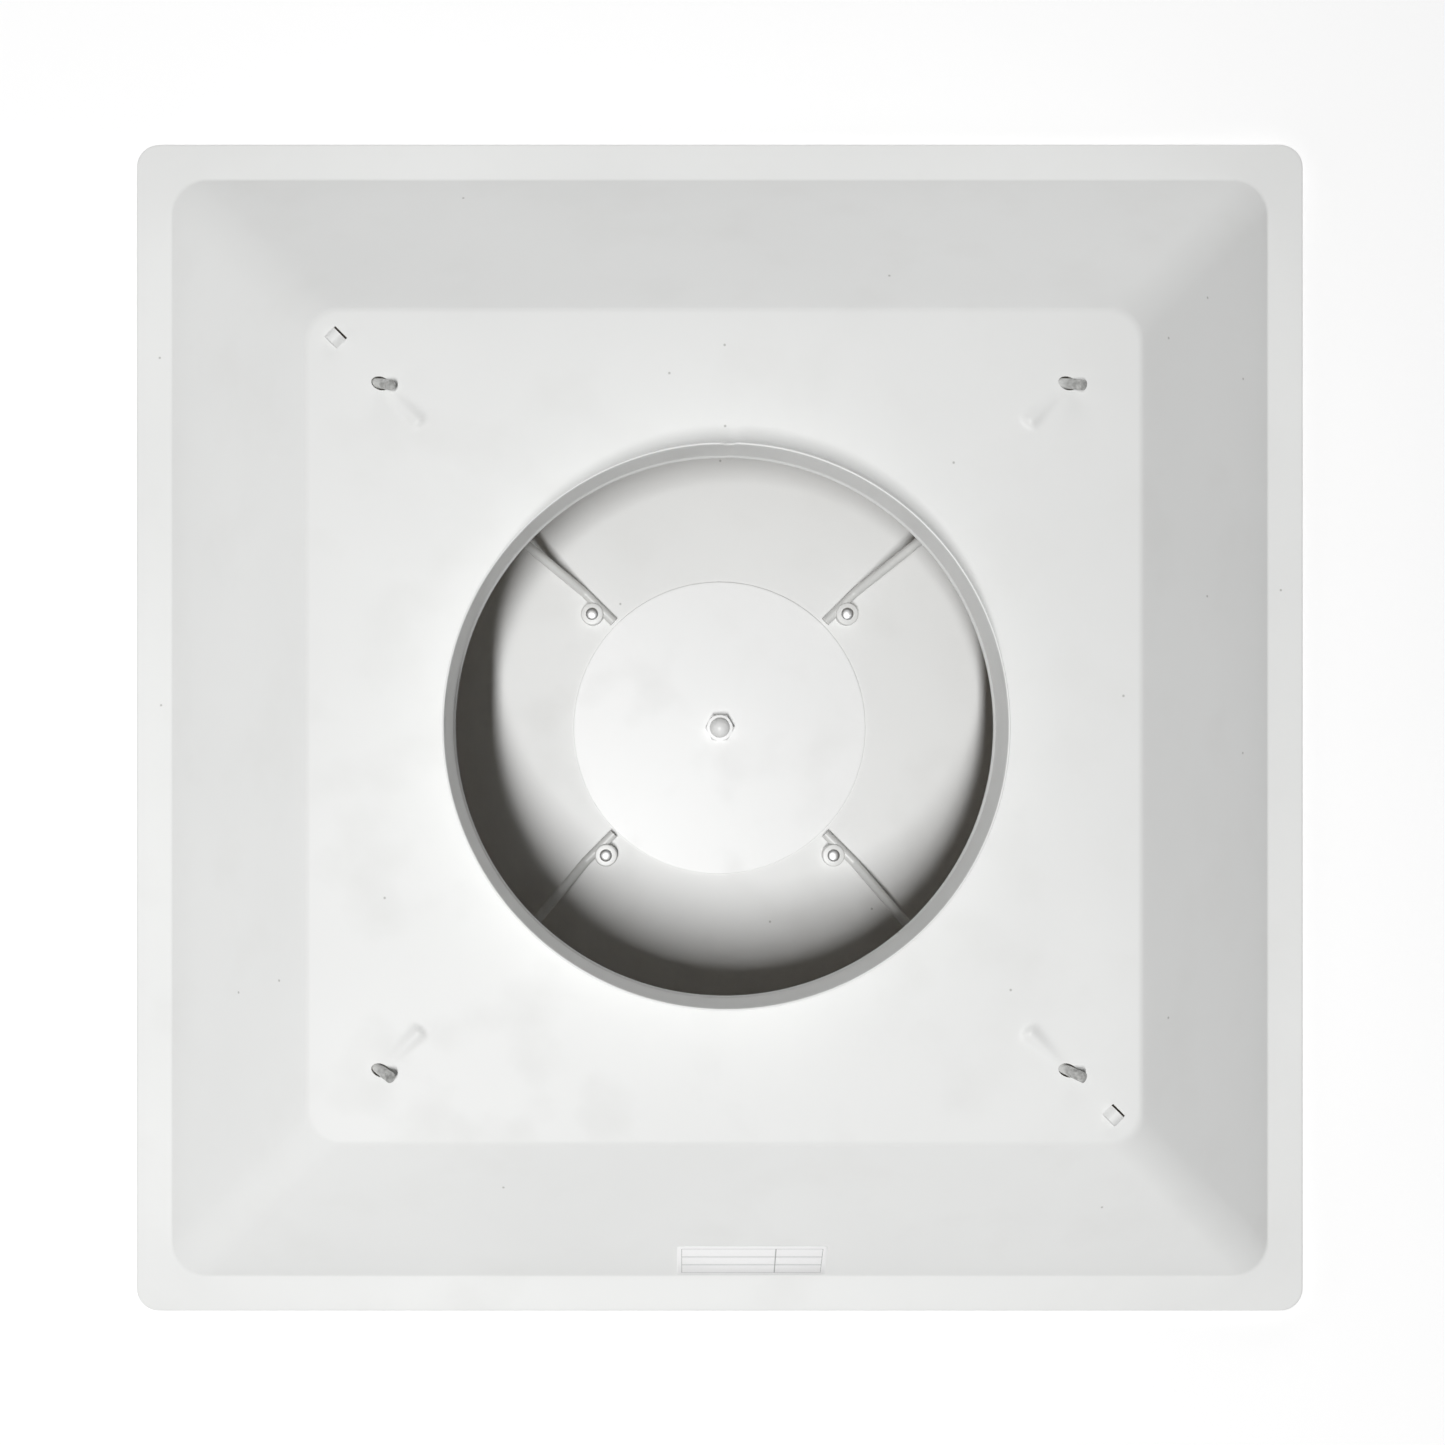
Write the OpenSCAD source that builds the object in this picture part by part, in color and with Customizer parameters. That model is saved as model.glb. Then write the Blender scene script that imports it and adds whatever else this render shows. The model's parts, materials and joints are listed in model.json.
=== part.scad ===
// Square plaque ceiling air diffuser: a pressed steel backpan with a round duct collar,
// and a flat plaque that hangs under it on four slanted wire hangers.
// Millimetres. +Z points up into the ceiling, and z = 0 is the room face of the plaque.

/* [Flange] */
// Width and length of the lay-in flange over its outer edges
flange_w = 603; // [500:1:730]
// Width of the flat band of the flange
flange_band = 17.5; // [14:0.5:21]
// Radius of the flange's corners
flange_corner_r = 11; // [10:1:24]
// Width of the hem that is folded under the flange's edge
hem_w = 8; // [5:0.5:11]

/* [Backpan] */
// Thickness of the pan's sheet
sheet_t = 1; // [0.8:0.1:1.2]
// Height of the pan from the underside of its flange to the top of the plateau
pan_depth = 80; // [66:1:100]
// Width and length of the plateau, the pan's flat top
plateau_w = 387; // [322:1:465]
// Corner radius at the foot of the slopes
slope_foot_r = 18; // [8:1:20]
// Corner radius of the plateau
plateau_r = 15; // [8:1:20]

/* [Plateau details] */
// Distance from the plateau's edges to the middle of each hanger hole
hook_inset = 34.5; // [28:0.5:42]
// Distance from the plateau's edges to the middle of each pressed pip
pip_inset = 52; // [48:0.5:60]
// Radius of a pressed pip where it rises from the plateau
pip_r = 7; // [5:0.5:9]
// Height of a pressed pip
pip_h = 1.5; // [0.8:0.1:2]
// Distance from the plateau's edges to the middle of each lanced loop
loop_inset = 13.5; // [12:0.5:18]
// Width of a lanced loop's strip
loop_w = 6; // [5:0.5:8]
// Outer radius of a lanced loop's arch
loop_r = 6.2; // [5.5:0.1:7]
// Depth of the arch's centre below the plateau's top
loop_sink = 3.2; // [2.5:0.1:3.8]

/* [Duct collar] */
// Outer diameter of the collar, which the duct slides over
neck_d = 251; // [209:1:301]
// Height of the collar above the plateau
collar_h = 32; // [25:1:50]
// Thickness of the collar's wall
collar_t = 1; // [0.8:0.1:1.5]
// Width of the collar's foot, which lies under the plateau
collar_foot_w = 11; // [8:0.5:14]
// Radius of the bend between the collar's wall and its foot
collar_bend_r = 3; // [2:0.5:4]
// How far the stop bead is pressed into the collar
bead_in = 0.8; // [0.4:0.1:1.2]
// Height of the stop bead's middle above the plateau
bead_up = 4; // [3:0.5:8]
// Gap between the collar and the edge of the pan's hole
collar_gap = 0.1; // [0.05:0.05:0.3]

/* [Plaque] */
// Gap between the foot of the pan's slopes and the plaque's edge, where the air comes out
air_gap = 55.5; // [40:0.5:80]
// How far the plaque's face stands below the flange
plaque_drop = 6; // [3:0.5:14]
// Thickness of the plaque's sheet
plaque_t = 1; // [0.8:0.1:1.5]
// Height of the plaque's turned-up rim
rim_h = 12; // [8:0.5:16]
// Width of the lip that is folded inwards at the top of the rim
lip_w = 5; // [3:0.5:8]
// Corner radius of the plaque
plaque_corner_r = 16; // [10:1:24]

/* [Centre of the plaque] */
// Diameter of the round stiffener disc
disc_d = 152; // [126:1:154]
// Thickness of the stiffener disc
disc_t = 1.2; // [0.8:0.1:2]
// Diameter of the centre stud
stud_d = 8; // [6:0.5:8.5]
// Radial gap between the stud and the pieces that slip over it
stud_gap = 0.05; // [0.02:0.01:0.1]
// Width across the flats of the cap nut
nut_af = 13; // [12:0.5:16]
// Height of the cap nut's hexagon
nut_hex_h = 6; // [5:0.5:8]
// Wall of the cap nut's dome around the stud
nut_dome_wall = 1; // [0.8:0.1:2]

/* [Wire hangers] */
// Diameter of the hanger wire
wire_d = 4.8; // [4:0.1:5.8]
// Distance of a hanger's inner end from both centre lines
foot_in = 55; // [53:0.5:60]
// Distance of a hanger's first bend from both centre lines
foot_out = 70; // [68:0.5:76]
// Lean of the hanger's end from the vertical, in degrees
hook_lean = 45; // [30:1:50]
// Direction in which the hangers' ends lean, in degrees from +X towards +Y
hook_turn = -20; // [-45:1:0]
// Length of the leaning end above the middle of the hole
hook_up = 9; // [7:0.5:14]
// Length of the leaning end below the middle of the hole
hook_down = 9; // [7:0.5:14]
// Sideways crank of the hanger under the hole, towards -Y
crank = 18; // [0:0.5:24]
// Depth of the crank's bend below the plateau
crank_depth = 20; // [14:0.5:26]
// Bend radius on the wire's centre line
wire_bend_r = 6; // [5:0.5:7]
// Chamfer at the wire's tip
tip_chamfer = 1; // [0.5:0.1:1.5]
// Gap around the wire where it leans through its hole
hook_gap = 0.85; // [0.5:0.05:1.2]

/* [Wire clamps] */
// Diameter of a clamp cap
cap_d = 11.6; // [11:0.1:13]
// Thickness of a clamp cap above the wire
cap_top = 1.2; // [0.8:0.1:2]
// Radial gap between the wire and the groove in its cap
groove_gap = 0.05; // [0.02:0.01:0.2]
// Diameter of a clamp stud's shank
shank_d = 4; // [3:0.1:4.2]
// Diameter of a clamp stud's head
head_d = 6.4; // [5:0.1:8]
// Thickness of a clamp stud's head
head_h = 1.4; // [1:0.1:2]
// Wall between the wire and the clamp stud
cap_wall = 0.6; // [0.4:0.1:1]

/* [Label] */
// Width of the blank label
label_w = 76; // [50:1:90]
// Height of the blank label
label_h = 28; // [20:1:34]
// Thickness of the blank label
label_t = 0.3; // [0.2:0.1:0.5]
// Distance of the label's middle from the pan's centre line
label_x = 16; // [-30:1:30]
// Distance along the slope from its foot to the label
label_up = 2.5; // [2:0.5:10]

/* [Hidden] */
$fn = 48;
eps = 0.01;
wire_sides = 20;
bend_step = 15;

// Levels, from the room face upwards
hem_z = plaque_drop;
flange_z = hem_z + sheet_t;
plateau_z = flange_z + pan_depth;
plaque_back_z = plaque_t;
wire_z = plaque_back_z + wire_d / 2;

// Half widths
slope_foot = flange_w / 2 - flange_band;
plateau_half = plateau_w / 2;
plaque_w = 2 * (slope_foot - air_gap);
hook_half = plateau_half - hook_inset;
pip_half = plateau_half - pip_inset;
loop_half = plateau_half - loop_inset;

// The slope of the pan's sides
slope_run = slope_foot - plateau_half;
slope_len = norm([slope_run, pan_depth]);
slope_angle = atan2(pan_depth, slope_run);
slope_wall = sheet_t * slope_len / pan_depth;

// The hangers' leaning ends
lean_axis = [
    sin(hook_lean) * cos(hook_turn),
    sin(hook_lean) * sin(hook_turn),
    cos(hook_lean)
];
hook_hole_d = wire_d / cos(hook_lean) + sheet_t * tan(hook_lean) + 2 * hook_gap;

// The clamps sit beside the middle of each hanger's foot, on its -Y side
foot_mid = (foot_in + foot_out) / 2;
clamp_side = wire_d / 2 + cap_wall + shank_d / 2 + stud_gap;

// Corner signs, [x, y]
BACK_LEFT = [-1, 1];
BACK_RIGHT = [1, 1];
FRONT_LEFT = [-1, -1];
FRONT_RIGHT = [1, -1];
CORNERS = [BACK_LEFT, BACK_RIGHT, FRONT_LEFT, FRONT_RIGHT];
LOOP_CORNERS = [BACK_LEFT, FRONT_RIGHT];

// ---- shared shapes ----

module rounded_square(w, r) {
    square([w - 2 * r, w], center = true);
    square([w, w - 2 * r], center = true);
    for (x = [-1, 1], y = [-1, 1])
        translate([x * (w / 2 - r), y * (w / 2 - r)])
            circle(r);
}

module rounded_plate(w, r, z, h) {
    translate([0, 0, z])
        linear_extrude(h)
            rounded_square(w, r);
}

// ---- backpan ----

// Solid frustum between the slopes' foot and the plateau, both drawn in by inset
module pan_block(inset, z_low, z_high) {
    hull() {
        rounded_plate(
            2 * (slope_foot - inset - (z_low - flange_z) * slope_run / pan_depth),
            slope_foot_r, z_low, eps
        );
        rounded_plate(
            2 * (slope_foot - inset - (z_high - flange_z) * slope_run / pan_depth),
            plateau_r, z_high - eps, eps
        );
    }
}

module flange() {
    rounded_plate(flange_w, flange_corner_r, flange_z, sheet_t);
    difference() {
        rounded_plate(flange_w, flange_corner_r, hem_z, sheet_t);
        rounded_plate(flange_w - 2 * hem_w, flange_corner_r - hem_w / 2, hem_z - 1, sheet_t + 2);
    }
}

module pip(corner) {
    ball_r = (pip_r * pip_r + pip_h * pip_h) / (2 * pip_h);
    intersection() {
        translate([corner[0] * pip_half, corner[1] * pip_half, plateau_z + pip_h - ball_r])
            sphere(ball_r);
        translate([corner[0] * pip_half, corner[1] * pip_half, plateau_z - sheet_t / 2])
            cylinder(r = 2 * pip_r, h = sheet_t + pip_h);
    }
}

// Places a lanced loop, which runs along the diagonal from the back left to the front right
module at_loop(corner) {
    translate([corner[0] * loop_half, corner[1] * loop_half, plateau_z])
        rotate([0, 0, -45])
            children();
}

module loop_arch() {
    intersection() {
        translate([0, 0, -loop_sink])
            rotate([90, 0, 0])
                difference() {
                    cylinder(r = loop_r, h = loop_w, center = true);
                    cylinder(r = loop_r - sheet_t, h = loop_w + 2, center = true);
                }
        translate([-loop_r, -loop_w, -sheet_t])
            cube([2 * loop_r, 2 * loop_w, loop_r]);
    }
}

module loop_slot() {
    half_span = sqrt(pow(loop_r - sheet_t, 2) - loop_sink * loop_sink);
    translate([-half_span, -loop_w / 2, -sheet_t - 1])
        cube([2 * half_span, loop_w, sheet_t + 2]);
}

module backpan() {
    color("whitesmoke") {
        difference() {
            union() {
                flange();
                pan_block(0, flange_z, plateau_z);
            }
            pan_block(slope_wall, flange_z - 2 * sheet_t, plateau_z - sheet_t);
            translate([0, 0, plateau_z - 2 * sheet_t])
                cylinder(d = neck_d + 2 * collar_gap, h = 4 * sheet_t, $fn = 96);
            for (corner = CORNERS)
                translate([corner[0] * hook_half, corner[1] * hook_half, plateau_z - 2 * sheet_t])
                    cylinder(d = hook_hole_d, h = 4 * sheet_t);
            for (corner = LOOP_CORNERS)
                at_loop(corner)
                    loop_slot();
        }
        for (corner = CORNERS)
            pip(corner);
        for (corner = LOOP_CORNERS)
            at_loop(corner)
                loop_arch();
    }
}

// ---- duct collar ----

module duct_collar() {
    wall_out = neck_d / 2;
    wall_in = wall_out - collar_t;
    foot_top = plateau_z - sheet_t;
    foot_low = foot_top - collar_t;
    bend = [
        for (a = [180 : 10 : 270])
            [wall_in, foot_low] + collar_bend_r * [1 + cos(a), 1 + sin(a)]
    ];
    bead_z = plateau_z + bead_up;
    bead = [
        for (step = [[2, 0], [1, 1], [-1, 1], [-2, 0]])
            [-bead_in * step[1], bead_z + bead_in * step[0]]
    ];
    color("white")
        rotate_extrude($fn = 96)
            polygon(concat(
                bend,
                [
                    [wall_out + collar_foot_w, foot_low],
                    [wall_out + collar_foot_w, foot_top],
                    [wall_out, foot_top]
                ],
                [for (i = [3 : -1 : 0]) [wall_out + bead[i][0], bead[i][1]]],
                [
                    [wall_out, plateau_z + collar_h],
                    [wall_in, plateau_z + collar_h]
                ],
                [for (i = [0 : 3]) [wall_in + bead[i][0], bead[i][1]]]
            ));
}

// ---- label ----

module blank_label() {
    corner_r = 2;
    color("ghostwhite")
        translate([label_x, -slope_foot, flange_z])
            rotate([slope_angle, 0, 0])
                translate([0, label_up + label_h / 2, eps])
                    linear_extrude(label_t) {
                        square([label_w - 2 * corner_r, label_h], center = true);
                        square([label_w, label_h - 2 * corner_r], center = true);
                        for (x = [-1, 1], y = [-1, 1])
                            translate([x * (label_w / 2 - corner_r), y * (label_h / 2 - corner_r)])
                                circle(corner_r);
                    }
}

// ---- plaque ----

module plaque_panel() {
    inner_r = plaque_corner_r - plaque_t;
    color("white")
        difference() {
            rounded_plate(plaque_w, plaque_corner_r, 0, rim_h);
            rounded_plate(
                plaque_w - 2 * plaque_t, inner_r,
                plaque_back_z, rim_h - 2 * plaque_t
            );
            rounded_plate(
                plaque_w - 2 * plaque_t - 2 * lip_w, inner_r - lip_w / 2,
                plaque_back_z, rim_h
            );
        }
}

module stiffener_disc() {
    color("white")
        translate([0, 0, plaque_back_z])
            difference() {
                cylinder(d = disc_d, h = disc_t, $fn = 96);
                translate([0, 0, -1])
                    cylinder(d = stud_d + 2 * stud_gap, h = disc_t + 2);
            }
}

// The stud is welded to the plaque's back, and its end stays inside the cap nut
module centre_stud() {
    color("silver")
        translate([0, 0, plaque_back_z])
            cylinder(d = stud_d, h = disc_t + nut_hex_h);
}

module centre_cap_nut() {
    dome_r = stud_d / 2 + nut_dome_wall;
    color("white")
        translate([0, 0, plaque_back_z + disc_t])
            difference() {
                union() {
                    cylinder(d = nut_af / cos(30), h = nut_hex_h, $fn = 6);
                    cylinder(r = dome_r, h = nut_hex_h + 1);
                    translate([0, 0, nut_hex_h + 1])
                        intersection() {
                            sphere(dome_r);
                            cylinder(r = 2 * dome_r, h = 2 * dome_r);
                        }
                }
                translate([0, 0, -1])
                    cylinder(d = stud_d + 2 * stud_gap, h = nut_hex_h + 1.5);
            }
}

// ---- wire hangers ----

// Points of one hanger: inner end, first bend, crank, bend under the hole, tip
function hanger_route(corner) =
    let (
        hole = [corner[0] * hook_half, corner[1] * hook_half, plateau_z - sheet_t / 2]
    )
    [
        [corner[0] * foot_in, corner[1] * foot_in, wire_z],
        [corner[0] * foot_out, corner[1] * foot_out, wire_z],
        hole - [0, crank, crank_depth],
        hole - hook_down * lean_axis,
        hole + hook_up * lean_axis
    ];

function unit(v) = v / norm(v);

// Direction of the straight run that starts at point i of a route
function run_dir(route, i) = unit(route[i + 1] - route[i]);

// Stations [place, direction, radius] around the bend at point i of a route
function bend_stations(route, i) =
    let (
        u = run_dir(route, i - 1),
        v = run_dir(route, i),
        turn = acos(u * v),
        m = (v - cos(turn) * u) / sin(turn),
        middle = route[i] - wire_bend_r * tan(turn / 2) * u + wire_bend_r * m,
        steps = ceil(turn / bend_step)
    )
    [
        for (k = [0 : steps])
            let (a = turn * k / steps)
                [
                    middle + wire_bend_r * (sin(a) * u - cos(a) * m),
                    cos(a) * u + sin(a) * m,
                    wire_d / 2
                ]
    ];

// Stations along a whole hanger, from its square-cut inner end to its chamfered tip
function wire_stations(route) =
    let (
        last = len(route) - 1,
        start_dir = run_dir(route, 0),
        tip_dir = run_dir(route, last - 1)
    )
    concat(
        [[route[0], start_dir, wire_d / 2]],
        [for (i = [1 : last - 1]) each bend_stations(route, i)],
        [
            [route[last], tip_dir, wire_d / 2],
            [route[last] + tip_chamfer * tip_dir, tip_dir, wire_d / 2 - tip_chamfer]
        ]
    );

// Side vectors that follow the stations without twisting
function side_vectors(stations, side, i = 0) =
    i == len(stations) ? [] :
    let (
        before = stations[max(i - 1, 0)][1],
        here = stations[i][1],
        turned = side - (side * here) / (1 + before * here) * (before + here)
    )
    concat([turned], side_vectors(stations, turned, i + 1));

module wire(stations) {
    first_side = unit(cross(stations[0][1], [0, 0, 1]));
    sides = side_vectors(stations, first_side);
    rings = len(stations);
    points = [
        for (i = [0 : rings - 1], k = [0 : wire_sides - 1])
            let (
                a = 360 * k / wire_sides,
                across = cos(a) * sides[i] + sin(a) * cross(stations[i][1], sides[i])
            )
                stations[i][0] + stations[i][2] * across
    ];
    walls = [
        for (i = [0 : rings - 2], k = [0 : wire_sides - 1], half = [0, 1])
            let (
                a = i * wire_sides + k,
                b = i * wire_sides + (k + 1) % wire_sides
            )
                half == 0 ? [a, a + wire_sides, b] : [b, a + wire_sides, b + wire_sides]
    ];
    start_cap = [for (k = [0 : wire_sides - 1]) k];
    end_cap = [for (k = [wire_sides - 1 : -1 : 0]) (rings - 1) * wire_sides + k];
    polyhedron(points, concat([start_cap, end_cap], walls), convexity = 6);
}

module hanger(corner) {
    color("gainsboro")
        wire(wire_stations(hanger_route(corner)));
}

module hanger_back_left() { hanger(BACK_LEFT); }
module hanger_back_right() { hanger(BACK_RIGHT); }
module hanger_front_left() { hanger(FRONT_LEFT); }
module hanger_front_right() { hanger(FRONT_RIGHT); }

// ---- wire clamps ----

// Turns local +X along the hanger's foot, with the hanger on the local +Y or -Y side
module at_clamp(corner) {
    along = [corner[0], corner[1]] / sqrt(2);
    side = corner[0] > 0 ? [along[1], -along[0]] : [-along[1], along[0]];
    to_front = side[1] < 0 ? side : -side;
    translate([
        corner[0] * foot_mid + clamp_side * to_front[0],
        corner[1] * foot_mid + clamp_side * to_front[1],
        plaque_back_z
    ])
        rotate([0, 0, atan2(-to_front[1], -to_front[0])])
            children();
}

// Local +X points from the clamp to its wire
module clamp_cap(corner) {
    groove_r = wire_d / 2 + groove_gap;
    cap_h = wire_d + cap_top;
    color("white")
        at_clamp(corner)
            difference() {
                cylinder(d = cap_d, h = cap_h);
                translate([0, 0, -1])
                    cylinder(d = shank_d + 2 * stud_gap, h = cap_h + 2);
                translate([clamp_side, cap_d, wire_d / 2])
                    rotate([90, 0, 0])
                        cylinder(r = groove_r, h = 2 * cap_d);
                translate([clamp_side - groove_r, -cap_d, -1])
                    cube([2 * groove_r, 2 * cap_d, wire_d / 2 + 1]);
            }
}

module clamp_stud(corner) {
    color("silver")
        at_clamp(corner) {
            cylinder(d = shank_d, h = wire_d + cap_top);
            translate([0, 0, wire_d + cap_top])
                cylinder(d = head_d, h = head_h);
        }
}

module clamp_cap_back_left() { clamp_cap(BACK_LEFT); }
module clamp_cap_back_right() { clamp_cap(BACK_RIGHT); }
module clamp_cap_front_left() { clamp_cap(FRONT_LEFT); }
module clamp_cap_front_right() { clamp_cap(FRONT_RIGHT); }

module clamp_stud_back_left() { clamp_stud(BACK_LEFT); }
module clamp_stud_back_right() { clamp_stud(BACK_RIGHT); }
module clamp_stud_front_left() { clamp_stud(FRONT_LEFT); }
module clamp_stud_front_right() { clamp_stud(FRONT_RIGHT); }

plaque_panel();
stiffener_disc();
centre_stud();
centre_cap_nut();
hanger_back_left();
hanger_back_right();
hanger_front_left();
hanger_front_right();
clamp_cap_back_left();
clamp_cap_back_right();
clamp_cap_front_left();
clamp_cap_front_right();
clamp_stud_back_left();
clamp_stud_back_right();
clamp_stud_front_left();
clamp_stud_front_right();
backpan();
duct_collar();
blank_label();
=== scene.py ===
"""Square plaque ceiling air diffuser, dressed in its finished surfaces.

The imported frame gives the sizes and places. Each sub-assembly is a class that holds its own
sizes in millimetres, builds its meshes in metres at the origin, and dresses them.
"""

from __future__ import annotations

import json
import logging
import math
from dataclasses import dataclass, field
from enum import Enum
from typing import Iterable, Sequence

import bmesh
import bpy
from mathutils import Matrix, Vector
from mathutils.geometry import delaunay_2d_cdt

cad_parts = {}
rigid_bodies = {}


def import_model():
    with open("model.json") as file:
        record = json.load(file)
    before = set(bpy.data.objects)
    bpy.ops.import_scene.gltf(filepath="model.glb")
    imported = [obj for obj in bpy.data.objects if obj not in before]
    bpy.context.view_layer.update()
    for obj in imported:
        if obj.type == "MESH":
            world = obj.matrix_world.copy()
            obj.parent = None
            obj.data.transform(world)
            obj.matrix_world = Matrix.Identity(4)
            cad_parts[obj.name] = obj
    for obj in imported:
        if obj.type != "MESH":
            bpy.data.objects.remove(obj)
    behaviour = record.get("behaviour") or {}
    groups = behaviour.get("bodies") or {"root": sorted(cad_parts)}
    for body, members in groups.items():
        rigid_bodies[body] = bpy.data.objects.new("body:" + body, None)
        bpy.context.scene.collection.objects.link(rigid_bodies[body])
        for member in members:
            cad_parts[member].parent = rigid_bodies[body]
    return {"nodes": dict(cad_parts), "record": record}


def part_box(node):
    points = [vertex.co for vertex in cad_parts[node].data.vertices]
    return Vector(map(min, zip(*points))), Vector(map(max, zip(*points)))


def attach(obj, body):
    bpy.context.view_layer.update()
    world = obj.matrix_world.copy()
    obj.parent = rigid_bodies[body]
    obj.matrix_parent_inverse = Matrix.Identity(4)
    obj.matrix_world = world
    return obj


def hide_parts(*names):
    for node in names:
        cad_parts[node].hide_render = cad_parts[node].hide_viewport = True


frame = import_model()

LOG = logging.getLogger("diffuser")
MM = 0.001

QUARTERS = ((1, 1), (-1, 1), (-1, -1), (1, -1))

Colour = tuple[float, float, float]


class Slot(Enum):
    """Material slots of the record."""

    COAT = "white_coat"
    STEEL = "plain_steel"
    LABEL = "label"


class Body(Enum):
    """Bodies of the record that the pieces ride on."""

    PLAQUE = "plaque"
    BACKPAN = "backpan"


class Corner(Enum):
    """Corners of the square in plan, each with its signs along X and Y."""

    BACK_LEFT = (-1, 1)
    BACK_RIGHT = (1, 1)
    FRONT_LEFT = (-1, -1)
    FRONT_RIGHT = (1, -1)

    @property
    def word(self) -> str:
        """Returns the corner's name as the nodes spell it."""
        return self.name.lower()

    def at(self, half: float, z: float = 0.0) -> Vector:
        """Returns the point of this corner at a half width and a height."""
        return Vector((self.value[0] * half, self.value[1] * half, z))


LOOP_CORNERS = (Corner.BACK_LEFT, Corner.FRONT_RIGHT)


# ---------------------------------------------------------------------------
# Node trees
# ---------------------------------------------------------------------------


class NodeSheet:
    """Adds and links nodes in one node tree."""

    def __init__(self, tree: bpy.types.NodeTree) -> None:
        """Keeps the tree.

        Args:
            tree: the tree that the nodes are added to.
        """
        self.tree = tree

    def add(self, kind: str, label: str = "", **settings: object) -> bpy.types.Node:
        """Adds one node.

        Args:
            kind: the node's type identifier.
            label: a plain name shown on the node.
            **settings: properties of the node.

        Returns:
            The new node.
        """
        node = self.tree.nodes.new(kind)
        node.label = label
        for key, value in settings.items():
            setattr(node, key, value)
        return node

    def link(self, source: bpy.types.NodeSocket, target: bpy.types.NodeSocket) -> None:
        """Links an output to an input."""
        self.tree.links.new(source, target)

    def math(
        self, operation: str, first: object, second: object = 0.0, clamp: bool = False
    ) -> bpy.types.NodeSocket:
        """Adds a math node whose inputs are numbers or sockets.

        Args:
            operation: the operation's name.
            first: first number or socket.
            second: second number or socket.
            clamp: whether the result is kept between 0 and 1.

        Returns:
            The node's output.
        """
        node = self.add("ShaderNodeMath", operation=operation, use_clamp=clamp)
        for socket, value in zip(node.inputs, (first, second)):
            if isinstance(value, bpy.types.NodeSocket):
                self.link(value, socket)
            else:
                socket.default_value = value
        return node.outputs[0]

    def mix(
        self, factor: bpy.types.NodeSocket, first: object, second: object
    ) -> bpy.types.NodeSocket:
        """Mixes two colours by a mask.

        Args:
            factor: the mask.
            first: colour, or socket, where the mask is 0.
            second: colour, or socket, where the mask is 1.

        Returns:
            The mixed colour's socket.
        """
        node = self.add("ShaderNodeMix", data_type="RGBA")
        self.link(factor, node.inputs[0])
        for socket, value in ((node.inputs[6], first), (node.inputs[7], second)):
            if isinstance(value, bpy.types.NodeSocket):
                self.link(value, socket)
            else:
                socket.default_value = (*value, 1.0)
        return node.outputs[2]

    def spread(
        self,
        source: bpy.types.NodeSocket,
        low: float,
        high: float,
        start: float = 0.0,
        stop: float = 1.0,
    ) -> bpy.types.NodeSocket:
        """Maps a value from start..stop to low..high.

        Args:
            source: the value.
            low: result at start.
            high: result at stop.
            start: value that gives low.
            stop: value that gives high.

        Returns:
            The mapped value's socket.
        """
        node = self.add("ShaderNodeMapRange")
        self.link(source, node.inputs["Value"])
        node.inputs["From Min"].default_value = start
        node.inputs["From Max"].default_value = stop
        node.inputs["To Min"].default_value = low
        node.inputs["To Max"].default_value = high
        return node.outputs["Result"]


def shader_group(
    name: str, inputs: dict[str, tuple[str, float]], outputs: Sequence[str]
) -> tuple[NodeSheet, bpy.types.Node, bpy.types.Node]:
    """Starts a shader node group.

    Args:
        name: the group's name.
        inputs: socket names with their type, VECTOR or VALUE, and default.
        outputs: names of the value outputs.

    Returns:
        The group's sheet, its input node and its output node.
    """
    tree = bpy.data.node_groups.new(name, "ShaderNodeTree")
    for label, (kind, default) in inputs.items():
        socket_type = "NodeSocketVector" if kind == "VECTOR" else "NodeSocketFloat"
        socket = tree.interface.new_socket(label, in_out="INPUT", socket_type=socket_type)
        if kind == "VALUE":
            socket.default_value = default
    for label in outputs:
        tree.interface.new_socket(label, in_out="OUTPUT", socket_type="NodeSocketFloat")
    sheet = NodeSheet(tree)
    return sheet, sheet.add("NodeGroupInput"), sheet.add("NodeGroupOutput")


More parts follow.
